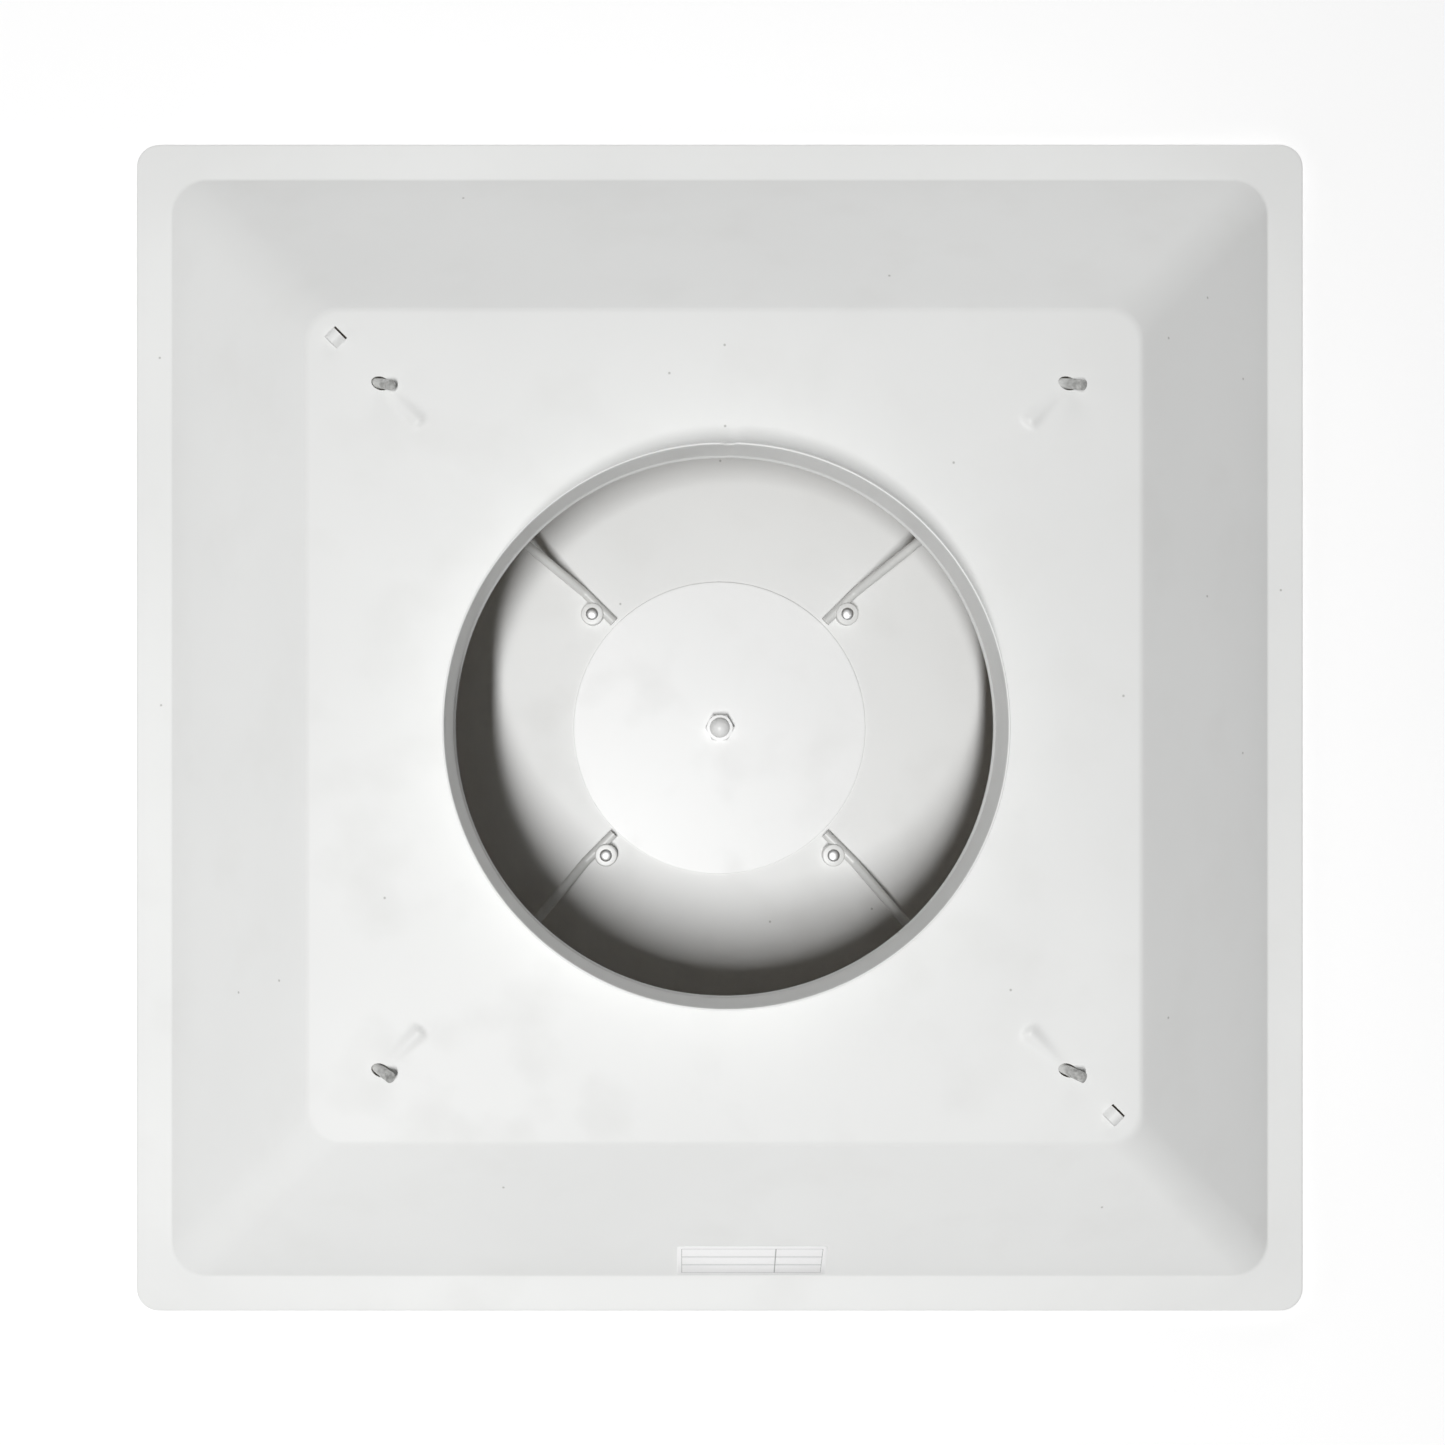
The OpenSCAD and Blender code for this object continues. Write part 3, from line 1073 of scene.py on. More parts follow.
class WireSweep(GeometryTree):
    """Sweeps a round wire along a line, with filleted bends, a cut end and a rounded tip."""

    def __init__(self) -> None:
        """Builds the tree."""
        super().__init__(
            "wire_sweep",
            {
                "Wire Radius": ("Float", 0.0024),
                "Bend Radius": ("Float", 0.006),
                "Tip Rounding": ("Float", 0.0018),
                "Cut Bevel": ("Float", 0.0004),
                "Step": ("Float", 0.0006),
                "Sides": ("Int", 24),
                "Material": ("Material", None),
            },
        )
        sheet = self.sheet
        curve = sheet.add("GeometryNodeMeshToCurve")
        sheet.link(self.given("Geometry"), curve.inputs[0])
        fillet = sheet.add("GeometryNodeFilletCurve")
        fillet.mode = "POLY"
        sheet.link(curve.outputs[0], fillet.inputs["Curve"])
        fillet.inputs["Count"].default_value = 14
        sheet.link(self.given("Bend Radius"), fillet.inputs["Radius"])
        even = sheet.add("GeometryNodeResampleCurve")
        even.mode = "LENGTH"
        sheet.link(fillet.outputs[0], even.inputs["Curve"])
        sheet.link(self.given("Step"), even.inputs["Length"])
        whole = sheet.add("GeometryNodeSplineLength").outputs["Length"]
        run = sheet.add("GeometryNodeSplineParameter").outputs["Length"]
        rest = sheet.math("SUBTRACT", whole, run)
        left = sheet.math("DIVIDE", rest, self.given("Tip Rounding"), clamp=True)
        lack = sheet.math("SUBTRACT", 1.0, left)
        dome = sheet.math("SQRT", sheet.math("SUBTRACT", 1.02, sheet.math("MULTIPLY", lack, lack)))
        rise = sheet.math("DIVIDE", run, self.given("Cut Bevel"), clamp=True)
        cut = sheet.spread(rise, 0.86, 1.0)
        shape = sheet.math("MULTIPLY", sheet.math("MINIMUM", dome, 1.0), cut)
        radius = sheet.add("GeometryNodeSetCurveRadius")
        sheet.link(even.outputs[0], radius.inputs["Curve"])
        sheet.link(shape, radius.inputs["Radius"])
        circle = sheet.add("GeometryNodeCurvePrimitiveCircle")
        sheet.link(self.given("Sides"), circle.inputs["Resolution"])
        sheet.link(self.given("Wire Radius"), circle.inputs["Radius"])
        sweep = sheet.add("GeometryNodeCurveToMesh")
        sheet.link(radius.outputs[0], sweep.inputs["Curve"])
        sheet.link(circle.outputs[0], sweep.inputs["Profile Curve"])
        sweep.inputs["Fill Caps"].default_value = True
        self.finish(sweep.outputs[0])


class RingSweep(GeometryTree):
    """Sweeps a closed profile around a circle.

    The profile lies in XY, with X pointing out from the circle and Y down.
    """

    def __init__(self) -> None:
        """Builds the tree."""
        super().__init__(
            "ring_sweep",
            {
                "Ring Radius": ("Float", 0.125),
                "Height": ("Float", 0.0),
                "Segments": ("Int", 512),
                "Material": ("Material", None),
            },
        )
        sheet = self.sheet
        profile = sheet.add("GeometryNodeMeshToCurve")
        sheet.link(self.given("Geometry"), profile.inputs[0])
        circle = sheet.add("GeometryNodeCurvePrimitiveCircle")
        sheet.link(self.given("Segments"), circle.inputs["Resolution"])
        sheet.link(self.given("Ring Radius"), circle.inputs["Radius"])
        upright = sheet.add("GeometryNodeSetCurveNormal")
        upright.mode = "Z_UP"
        sheet.link(circle.outputs[0], upright.inputs["Curve"])
        sweep = sheet.add("GeometryNodeCurveToMesh")
        sheet.link(upright.outputs[0], sweep.inputs["Curve"])
        sheet.link(profile.outputs[0], sweep.inputs["Profile Curve"])
        lift = sheet.add("GeometryNodeTransform")
        where = sheet.add("ShaderNodeCombineXYZ")
        sheet.link(self.given("Height"), where.inputs["Z"])
        sheet.link(sweep.outputs[0], lift.inputs["Geometry"])
        sheet.link(where.outputs[0], lift.inputs["Translation"])
        self.finish(lift.outputs[0])


class Scatter(GeometryTree):
    """Puts a copy of one piece on each point, turned about Z."""

    def __init__(self) -> None:
        """Builds the tree."""
        super().__init__(
            "piece_on_points",
            {"Piece": ("Object", None), "Scale": ("Float", 1.0), "Material": ("Material", None)},
        )
        sheet = self.sheet
        piece = sheet.add("GeometryNodeObjectInfo")
        sheet.link(self.given("Piece"), piece.inputs[0])
        turn = sheet.add("GeometryNodeInputNamedAttribute")
        turn.data_type = "FLOAT"
        turn.inputs["Name"].default_value = "turn"
        about = sheet.add("ShaderNodeCombineXYZ")
        sheet.link(turn.outputs["Attribute"], about.inputs["Z"])
        place = sheet.add("GeometryNodeInstanceOnPoints")
        sheet.link(self.given("Geometry"), place.inputs["Points"])
        sheet.link(piece.outputs["Geometry"], place.inputs["Instance"])
        sheet.link(about.outputs[0], place.inputs["Rotation"])
        sheet.link(self.given("Scale"), place.inputs["Scale"])
        self.finish(place.outputs[0])

    def spread(
        self,
        name: str,
        piece: bpy.types.Mesh,
        points: Sequence[Vector],
        turns: Sequence[float],
        material: bpy.types.Material,
        sharp: float = 35.0,
    ) -> bpy.types.Object:
        """Makes one object of a piece repeated on points.

        Args:
            name: name of the finished object.
            piece: mesh of one piece.
            points: places in millimetres.
            turns: turns about Z in radians.
            material: the finish.
            sharp: angle in degrees above which an edge is sharp.

        Returns:
            The finished object.
        """
        piece.materials.append(material)
        pattern = placed("pattern", piece)
        thing = self.run(name, point_mesh(points, turns), sharp, Piece=pattern, Material=material)
        bpy.data.objects.remove(pattern)
        return thing


# ---------------------------------------------------------------------------
# Sizes from the frame
# ---------------------------------------------------------------------------


def span(node: str, axis: int) -> tuple[float, float]:
    """Lowest and highest place of a node along an axis, in millimetres.

    Args:
        node: the node's name.
        axis: 0, 1 or 2 for X, Y or Z.

    Returns:
        The two places.
    """
    low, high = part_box(node)
    return low[axis] / MM, high[axis] / MM


@dataclass(frozen=True)
class FrameSizes:
    """Sizes that several pieces share, read from the frame, in millimetres.

    Attributes:
        flange_half: half width of the flange.
        hem_low: underside of the flange's hem.
        collar_top: top of the duct collar.
        collar_low: underside of the collar's foot.
        foot_half: outer radius of the collar's foot.
        plaque_half: half width of the plaque.
        rim_top: top of the plaque's rim.
        disc_radius: radius of the stiffener disc.
        disc_top: top of the stiffener disc.
        lift: direction in which the hangers' ends draw out of their holes.
    """

    flange_half: float
    hem_low: float
    collar_top: float
    collar_low: float
    foot_half: float
    plaque_half: float
    rim_top: float
    disc_radius: float
    disc_top: float
    lift: Vector

    @classmethod
    def from_frame(cls) -> "FrameSizes":
        """Reads the sizes.

        Returns:
            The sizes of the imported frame.
        """
        joint = frame["record"]["behaviour"]["joints"][0]
        return cls(
            flange_half=span("backpan", 0)[1],
            hem_low=span("backpan", 2)[0],
            collar_top=span("duct_collar", 2)[1],
            collar_low=span("duct_collar", 2)[0],
            foot_half=span("duct_collar", 0)[1],
            plaque_half=span("plaque_panel", 0)[1],
            rim_top=span("plaque_panel", 2)[1],
            disc_radius=span("stiffener_disc", 0)[1],
            disc_top=span("stiffener_disc", 2)[1],
            lift=Vector(joint["axis"]).normalized(),
        )


def install(piece: bpy.types.Object, body: Body, replaces: Sequence[str] = ()) -> None:
    """Rides a piece on its body and the nodes it stands for, and reports it.

    Args:
        piece: the finished piece.
        body: the body it rides on.
        replaces: nodes that the piece stands for.
    """
    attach(piece, body.value)
    if replaces:
        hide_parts(*replaces)
    LOG.info("%s: %d faces on %s", piece.name, len(piece.data.polygons), body.value)


def dress(piece: bpy.types.Object, material: bpy.types.Material) -> None:
    """Gives a piece one finish.

    Args:
        piece: the piece.
        material: its finish.
    """
    piece.data.materials.clear()
    piece.data.materials.append(material)


# ---------------------------------------------------------------------------
# Sub-assemblies
# ---------------------------------------------------------------------------


@dataclass
class BackPan:
    """The pressed backpan: hemmed flange, four slopes and the plateau with its pressings.

    Attributes:
        sizes: sizes from the frame.
        sheet: thickness of the sheet.
        hem: width of the folded hem.
        flange_band: width of the flange's flat band.
        depth: height from the flange's underside to the plateau's top.
        plateau_half: half width of the plateau.
        corner_edge: corner radius at the flange's edge.
        corner_foot: corner radius at the slopes' foot.
        corner_top: corner radius at the plateau.
        bend_foot: bend radius at the slopes' foot.
        bend_top: bend radius at the plateau's edge.
        neck_radius: radius of the hole for the collar.
        hook_inset: distance from the plateau's edge to a hook hole.
        hook_radius: half length of a hook hole, along the hooks' lean.
        hook_side: half width of a hook hole.
        pip_inset: distance from the plateau's edge to a pip.
        pip_height: height of a pip.
        rib_half: half width of a pip's rib.
        rib_narrowing: how much narrower the rib is at its hook hole.
        loop_inset: distance from the plateau's edge to a safety loop.
        loop_width: width of a safety loop.
        loop_half: half length of the slot under a safety loop.
        loop_slit: extra width of that slot at the loop's back right side.
        loop_rise: height of a safety loop's top above the plateau.
    """

    sizes: FrameSizes
    sheet: float = 1.0
    hem: float = 8.0
    flange_band: float = 17.5
    depth: float = 80.0
    plateau_half: float = 193.5
    corner_edge: float = 11.0
    corner_foot: float = 18.0
    corner_top: float = 15.0
    bend_foot: float = 3.0
    bend_top: float = 5.0
    neck_radius: float = 126.6
    hook_inset: float = 34.5
    hook_radius: float = 4.5
    hook_side: float = 3.1
    pip_inset: float = 52.0
    pip_height: float = 2.0
    rib_half: float = 3.2
    rib_narrowing: float = 1.2
    loop_inset: float = 13.5
    loop_width: float = 6.0
    loop_half: float = 3.9
    loop_slit: float = 0.9
    loop_rise: float = 3.0

    @property
    def plateau_z(self) -> float:
        """Returns the top of the plateau."""
        return self.sizes.hem_low + self.sheet + self.depth

    @property
    def foot_half(self) -> float:
        """Returns the half width at the slopes' foot."""
        return self.sizes.flange_half - self.flange_band

    @property
    def slope_angle(self) -> float:
        """Returns the angle of the slopes from the flat, in radians."""
        return math.atan2(self.depth, self.foot_half - self.plateau_half)

    def _stations(self) -> list[tuple[float, float, float]]:
        """Middle line of the sheet from the hem to the plateau.

        Returns:
            Stations (half width, corner radius, height).
        """
        edge = self.sizes.flange_half
        low = self.sizes.hem_low + self.sheet / 2
        top = low + self.sheet
        roof = self.plateau_z - self.sheet / 2
        angle = self.slope_angle
        tangent = math.tan(angle)
        inward = self.sheet / 2 / math.cos(angle)
        base = self.sizes.hem_low + self.sheet

        def slope_at(z: float) -> float:
            """Returns the half width of the slopes' middle line at a height."""
            return self.foot_half - (z - base + inward) / tangent

        fold = edge - self.sheet
        beside = fold - 0.6
        line = [(edge - self.hem, low), (edge - self.hem / 2, low), (beside, low)]
        line += arc((fold, low + self.sheet / 2), self.sheet / 2, -90, 90, 8)
        line += [(beside, top), (edge - self.hem / 2, top), (edge - self.hem, top)]
        foot = slope_at(top)
        back = self.bend_foot * math.tan(angle / 2)
        turn = -90 - math.degrees(angle)
        line += arc((foot + back, top + self.bend_foot), self.bend_foot, -90, turn, 7)
        crown = slope_at(roof)
        lead = self.bend_top * math.tan(angle / 2)
        start = Vector(line[-1])
        centre = (crown - lead, roof - self.bend_top)
        bend = arc(centre, self.bend_top, 90 - math.degrees(angle), 90, 8)
        stop = Vector(bend[0])
        count = 10
        line += [tuple(start.lerp(stop, k / count)) for k in range(1, count)]
        line += bend
        stations: list[tuple[float, float, float]] = []
        for half, z in line:
            if half > foot:
                share = (half - foot) / (edge - foot)
                radius = self.corner_foot + share * (self.corner_edge - self.corner_foot)
            else:
                share = (half - crown) / (foot - crown)
                radius = self.corner_top + share * (self.corner_foot - self.corner_top)
            stations.append((half, radius, z))
        return stations

    def _relief(self, x: float, y: float) -> float:
        """Works out how high the pressed ribs and pips stand at a place.

        Args:
            x: place along X.
            y: place along Y.

        Returns:
            The height in millimetres.
        """
        pip_half = self.plateau_half - self.pip_inset
        hook_half = self.plateau_half - self.hook_inset
        length = (hook_half - pip_half) * math.sqrt(2)
        out = (abs(x) + abs(y)) / math.sqrt(2) - pip_half * math.sqrt(2)
        off = (abs(x) - abs(y)) / math.sqrt(2)
        nose, reach = 2.0, 9.0
        if out < -reach or out > length:
            return 0.0
        if out < 0:
            along = math.exp(-((out / nose) ** 2))
            width = self.rib_half
        else:
            share = out / length
            along = (1 - share) ** 1.6
            width = self.rib_half - self.rib_narrowing * share
        return self.pip_height * along * math.exp(-((off / width) ** 2))

    def _hook_hole(self, corner: Corner) -> list[Vector]:
        """Outline of a hook hole, long along the hooks' lean.

        Args:
            corner: the hole's corner.

        Returns:
            The outline's points.
        """
        centre = corner.at(self.plateau_half - self.hook_inset)
        turn = Matrix.Rotation(math.atan2(self.sizes.lift.y, self.sizes.lift.x), 3, "Z")
        shape = Matrix.Diagonal((self.hook_radius, self.hook_side, 1.0))
        return [centre + turn @ shape @ point for point in circle(1.0, 0.0, 32)]

    def _slot(self, corner: Corner) -> list[Vector]:
        """Outline of the slot under a safety loop.

        Args:
            corner: the loop's corner.

        Returns:
            The outline's points.
        """
        centre = corner.at(self.plateau_half - self.loop_inset)
        turn = Matrix.Rotation(math.radians(-45), 3, "Z")
        low, high = -self.loop_width / 2, self.loop_width / 2 + self.loop_slit
        length = self.loop_half
        corners = ((length, high), (-length, high), (-length, low), (length, low))
        return [centre + turn @ Vector((x, y, 0)) for x, y in corners]

    def _fill_plateau(self, shape: bmesh.types.BMesh, rim: list[Vector]) -> None:
        """Fills the plateau inside its last ring, around its holes.

        Args:
            shape: the bmesh that receives the faces.
            rim: points of the last ring, in millimetres.
        """
        height = rim[0].z
        holes = [circle(self.neck_radius, 0.0, 192)]
        holes += [self._hook_hole(corner) for corner in Corner]
        holes += [self._slot(corner) for corner in LOOP_CORNERS]
        points: list[Vector] = []
        edges: list[tuple[int, int]] = []
        for loop in [rim, *holes]:
            first = len(points)
            points += [Vector((p.x, p.y)) for p in loop]
            edges += [(first + i, first + (i + 1) % len(loop)) for i in range(len(loop))]
        points += self._inner_points(rim[0].x)
        places, _, faces, *_ = delaunay_2d_cdt(points, edges, [], 1, 1e-5)
        raised = [Vector((p.x, p.y, height + self._relief(p.x, p.y))) for p in places]
        verts = [shape.verts.new(point * MM) for point in raised]
        limit = max(abs(p.x) for p in rim)
        for face in faces:
            middle = sum((places[i] for i in face), Vector((0, 0))) / len(face)
            if self._is_sheet(middle, limit):
                shape.faces.new([verts[i] for i in face])
        bmesh.ops.delete(shape, geom=[v for v in verts if not v.link_faces], context="VERTS")

    def _inner_points(self, limit: float) -> list[Vector]:
        """Points inside the plateau: a wide grid on the flat, and fine ones on the ribs.

        Args:
            limit: half width of the filled square.

        Returns:
            The points in plan.
        """
        points: list[Vector] = []
        steps, flat = 20, 0.01
        wide_margin, fine_margin = 5.0, 0.8
        grid = [limit * (2 * i / steps - 1) for i in range(1, steps)]
        for x in grid:
            for y in grid:
                p = Vector((x, y))
                if self._is_sheet(p, limit, wide_margin) and self._relief(x, y) < flat:
                    points.append(p)
        pip_half = self.plateau_half - self.pip_inset
        for corner in Corner:
            along = Vector(corner.value).normalized()
            across = Vector((-along.y, along.x))
            start = Vector(corner.value) * pip_half
            for i in range(-8, 21):
                for j in range(-9, 10):
                    p = start + along * i + across * (j + (0.5 if i % 2 else 0.0))
                    if self._is_sheet(p, limit, fine_margin):
                        points.append(p)
        return points

    def _is_sheet(self, place: Vector, limit: float, margin: float = 0.0) -> bool:
        """Whether a place is on the plateau's sheet and clear of its holes.

        Args:
            place: the place in plan.
            limit: half width of the filled square.
            margin: extra distance kept from every edge.

        Returns:
            True on the sheet.
        """
        if place.length < self.neck_radius + margin:
            return False
        if max(abs(place.x), abs(place.y)) > limit - margin:
            return False
        hook_half = self.plateau_half - self.hook_inset
        lean = self.sizes.lift.to_2d().normalized()
        for corner in Corner:
            off = place - corner.at(hook_half).to_2d()
            along, across = off.dot(lean), off.x * lean.y - off.y * lean.x
            if math.hypot(along / (self.hook_radius + margin), across / (self.hook_side + margin)) < 1:
                return False
        for corner in LOOP_CORNERS:
            off = place - corner.at(self.plateau_half - self.loop_inset).to_2d()
            along, across = (off.x - off.y) / math.sqrt(2), (off.x + off.y) / math.sqrt(2)
            low, high = -self.loop_width / 2 - margin, self.loop_width / 2 + self.loop_slit + margin
            if abs(along) < self.loop_half + margin and low < across < high:
                return False
        return True

    def build(self, outside: bpy.types.Material, inside: bpy.types.Material) -> bpy.types.Object:
        """Builds the pan.

        Args:
            outside: finish of the side towards the duct.
            inside: finish of the side towards the plaque, a dark brown coat that is painted shade for
                the unlit space under the plateau.

        Returns:
            The finished sheet.
        """
        shape = bmesh.new()
        rings = [rounded_square(half, radius, z) for half, radius, z in self._stations()]
        loft(shape, rings)
        self._fill_plateau(shape, rings[-1])
        surface = mesh_from_bmesh(shape, weld=2e-6)
        # The inside faces take the dark brown painted-shade coat.
        sheet = thickened(surface, self.sheet * MM, [outside, inside])
        return mesh_object("backpan_sheet", sheet, 32)

    def loops(self, scatter: Scatter, material: bpy.types.Material) -> bpy.types.Object:
        """Builds the two lanced safety loops.

        Args:
            scatter: the tree that repeats them.
            material: their finish.

        Returns:
            The loops as one object.
        """
        reach = self.loop_half + 1.4
        arch = self.loop_half + 0.4
        bevel = 0.15
        count = 28
        middle: list[tuple[float, float]] = []
        for k in range(count + 1):
            x = -reach + 2 * reach * k / count
            share = min(1.0, abs(x) / arch)
            rise = self.loop_rise * (0.5 + 0.5 * math.cos(math.pi * share ** 1.5))
            middle.append((x, rise - self.sheet / 2))
        outline = ribbon(middle, self.sheet * 0.96)
        shape = bmesh.new()
        half = self.loop_width / 2 - 0.12
        rows = [
            [Vector((x, y, z)) for x, z in outline]
            for y in (-half, -half + bevel, 0.0, half - bevel, half)
        ]
        made = loft(shape, rows)
        for row in (made[0], made[-1]):
            side = len(row) // 2
            for i in range(side - 1):
                shape.faces.new((row[i], row[i + 1], row[-2 - i], row[-1 - i]))
        strip = mesh_from_bmesh(shape)
        at = self.plateau_half - self.loop_inset
        places = [corner.at(at, self.plateau_z) for corner in LOOP_CORNERS]
        turns = [math.radians(-45)] * len(places)
        return scatter.spread("safety_loops", strip, places, turns, material)


@dataclass
class DuctCollar:
    """The rolled collar that the duct slides over.

    Attributes:
        sizes: sizes from the frame.
        wall: thickness of the wall.
        radius: outer radius of the wall.
        bead_depth: how far the stop bead is pressed in.
        bead_up: height of the bead's middle above the plateau.
        bead_half: half height of the bead.
        bend: bend radius at the foot.
        segments: steps around the ring.
        lap_width: width of the lap seam, left of the back.
        lap_edge: place of the seam's edge along X.
        lap_fade: width over which the lap rises.
        lap_depth: step at the seam's edge.
        notch_at: place of the notch along X.
        notch_half: half width of the notch.
        notch_band: height of the rim that the notch moves down.
        notch_depth: depth of the notch.
    """

    sizes: FrameSizes
    wall: float = 1.0
    radius: float = 125.5
    bead_depth: float = 0.8
    bead_up: float = 4.0
    bead_half: float = 2.4
    bend: float = 1.5
    segments: int = 512
    lap_width: float = 10.0
    lap_edge: float = 1.0
    lap_fade: float = 9.0
    lap_depth: float = 0.175
    notch_at: float = 1.4
    notch_half: float = 2.4
    notch_band: float = 1.3
    notch_depth: float = 2.2

    def _profile(self, plateau_z: float) -> list[Vector]:
        """Closed profile of the ring, outwards from the wall's middle and downwards from the foot.

        Args:
            plateau_z: top of the plateau.

        Returns:
            The profile's points.
        """
        low = self.sizes.collar_low + self.wall / 2
        mid = self.radius - self.wall / 2
        rim = self.sizes.collar_top - self.wall / 2
        line = [(self.sizes.foot_half, low), (self.sizes.foot_half - 4, low)]
        line += arc((mid + self.bend, low + self.bend), self.bend, 270, 180, 6)
        bead_z = plateau_z + self.bead_up
        for k in range(17):
            share = -1 + k / 8
            rise = 0.5 + 0.5 * math.cos(math.pi * share)
            line.append((mid - self.bead_depth * rise, bead_z + self.bead_half * share))
        line += [(mid, bead_z + 10), (mid, rim - 4), (mid, rim)]
        outline = ribbon(line, self.wall)
        count = len(line)
        left, right = outline[:count], outline[count:]
        cap = arc((mid, rim), self.wall / 2, 180, 0, 8)[1:-1]
        return [Vector((r - mid, low - z, 0)) for r, z in left + cap + right]

    def _mark_seam(self, mesh: bpy.types.Mesh) -> None:
        """Presses the lap seam and the notch over it into the wall at the back.

        Args:
            mesh: the collar's mesh.
        """
        for vertex in mesh.vertices:
            x, y, z = vertex.co / MM
            if y < 0:
                continue
            if -self.lap_width < x < self.lap_edge:
                outward = Vector((x, y, 0)).normalized()
                share = min(1.0, (x + self.lap_width) / self.lap_fade)
                vertex.co -= outward * self.lap_depth * share * MM
            if abs(x - self.notch_at) < self.notch_half and z > self.sizes.collar_top - self.notch_band:
                vertex.co.z -= self.notch_depth * MM

    def build(
        self, tree: RingSweep, plateau_z: float, material: bpy.types.Material
    ) -> bpy.types.Object:
        """Builds the collar.

        Args:
            tree: the tree that sweeps the ring.
            plateau_z: top of the plateau.
            material: its finish.

        Returns:
            The finished ring.
        """
        low = self.sizes.collar_low + self.wall / 2
        piece = tree.run(
            "collar_ring",
            line_mesh(self._profile(plateau_z), closed=True),
            40,
            Ring_Radius=(self.radius - self.wall / 2) * MM,
            Height=low * MM,
            Segments=self.segments,
            Material=material,
        )
        self._mark_seam(piece.data)
        return piece


@dataclass
class BlankLabel:
    """The blank label on the front slope.

    Attributes:
        width: its width.
        height: its height along the slope.
        thickness: its thickness.
        corner: its corner radius.
    """

    width: float = 76.0
    height: float = 28.0
    thickness: float = 0.3
    corner: float = 2.0

    def build(self, slope: float, effects: SurfaceEffects) -> bpy.types.Object:
        """Builds the label on the slope.

        Args:
            slope: the slope's angle from the flat, in radians.
            effects: the shared surface effects.

        Returns:
            The finished label.
        """
        low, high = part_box("blank_label")
        centre = (Vector(low) + Vector(high)) / 2 / MM
        turn = Matrix.Rotation(slope, 3, "X")
        half = self.thickness / 2
        steps = ((0.25, -half), (0.0, -half + 0.04), (0.0, half - 0.06), (0.06, half))
        shape = bmesh.new()
        rings = [self._outline(inset, z) for inset, z in steps]
        rows = loft(shape, [[centre + turn @ p for p in ring] for ring in rings])
        shape.faces.new(rows[0])
        shape.faces.new(rows[-1])
        piece = mesh_object("label_film", mesh_from_bmesh(shape), 50)
        film = LabelFilm(tuple(centre * MM), slope, self.width * MM, self.height * MM)
        dress(piece, film.material(effects))
        return piece

    def _outline(self, inset: float, z: float) -> list[Vector]:
        """Rounded rectangle of the label.

        Args:
            inset: how far it lies inside the label's edge.
            z: its height over the label's middle.

        Returns:
            The points.
        """
        points: list[Vector] = []
        for quarter, (sign_x, sign_y) in enumerate(QUARTERS):
            x = sign_x * (self.width / 2 - self.corner)
            y = sign_y * (self.height / 2 - self.corner)
            corner = arc((x, y), self.corner - inset, 90 * quarter, 90 * quarter + 90, 8)
            points += [Vector((px, py, z)) for px, py in corner]
        return points


@dataclass
class Plaque:
    """The plaque: a flat sheet with its rim turned up and in, and a stiffener disc.

    Attributes:
        sizes: sizes from the frame.
        sheet: thickness of the sheet.
        corner: corner radius.
        bend: bend radius of the rim.
        lip: width of the lip folded inwards.
        disc_hole: radius of the disc's hole.
    """

    sizes: FrameSizes
    sheet: float = 1.0
    corner: float = 16.0
    bend: float = 1.5
    lip: float = 5.0
    disc_hole: float = 4.05

    def panel(self, material: bpy.types.Material) -> bpy.types.Object:
        """Builds the plaque's sheet.

        Args:
            material: its finish.

        Returns:
            The finished sheet.
        """
        low = self.sheet / 2
        edge = self.sizes.plaque_half - self.sheet / 2
        top = self.sizes.rim_top - self.sheet / 2
        bend = self.bend
        line = [(edge - 1 - self.lip + 0.5, top), (edge - bend - 1, top)]
        line += arc((edge - bend, top - bend), bend, 90, 0, 6)
        line += [(edge, (low + top) / 2)]
        line += arc((edge - bend, low + bend), bend, 0, -90, 6)
        line += [(edge * share, low) for share in (0.985, 0.95, 0.85, 0.7, 0.5, 0.3, 0.15)]
        tightest = self.corner * 0.2
        shape = bmesh.new()
        rings = []
        for half, z in line:
            radius = max(tightest, self.corner - max(0.0, edge - half) * 0.4)
            rings.append(rounded_square(half, radius, z))
        rows = loft(shape, rings)
        shape.faces.new(rows[-1])
        sheet = thickened(mesh_from_bmesh(shape), self.sheet * MM, [material])
        return mesh_object("plaque_sheet", sheet, 32)

    def disc(self, material: bpy.types.Material) -> bpy.types.Object:
        """Builds the round stiffener disc with rolled edges.

        Args:
            material: its finish.

        Returns:
            The finished disc.
        """
        low, top, radius = self.sheet, self.sizes.disc_top, self.sizes.disc_radius
        ease = 0.3
        profile = [(self.disc_hole, low), (radius - ease, low)]
        profile += arc((radius - ease, low + ease), ease, -90, 0, 4)
        profile += arc((radius - ease, top - ease), ease, 0, 90, 5)
        profile += [(radius - 1.0, top)] + [(radius * share, top) for share in (0.8, 0.5, 0.25)]
        profile += [(self.disc_hole + 1.0, top), (self.disc_hole + ease, top)]
        profile += [(self.disc_hole, top - ease)]
        piece = mesh_object("stiffener_plate", revolved(profile, 192), 30)
        dress(piece, material)
        return piece


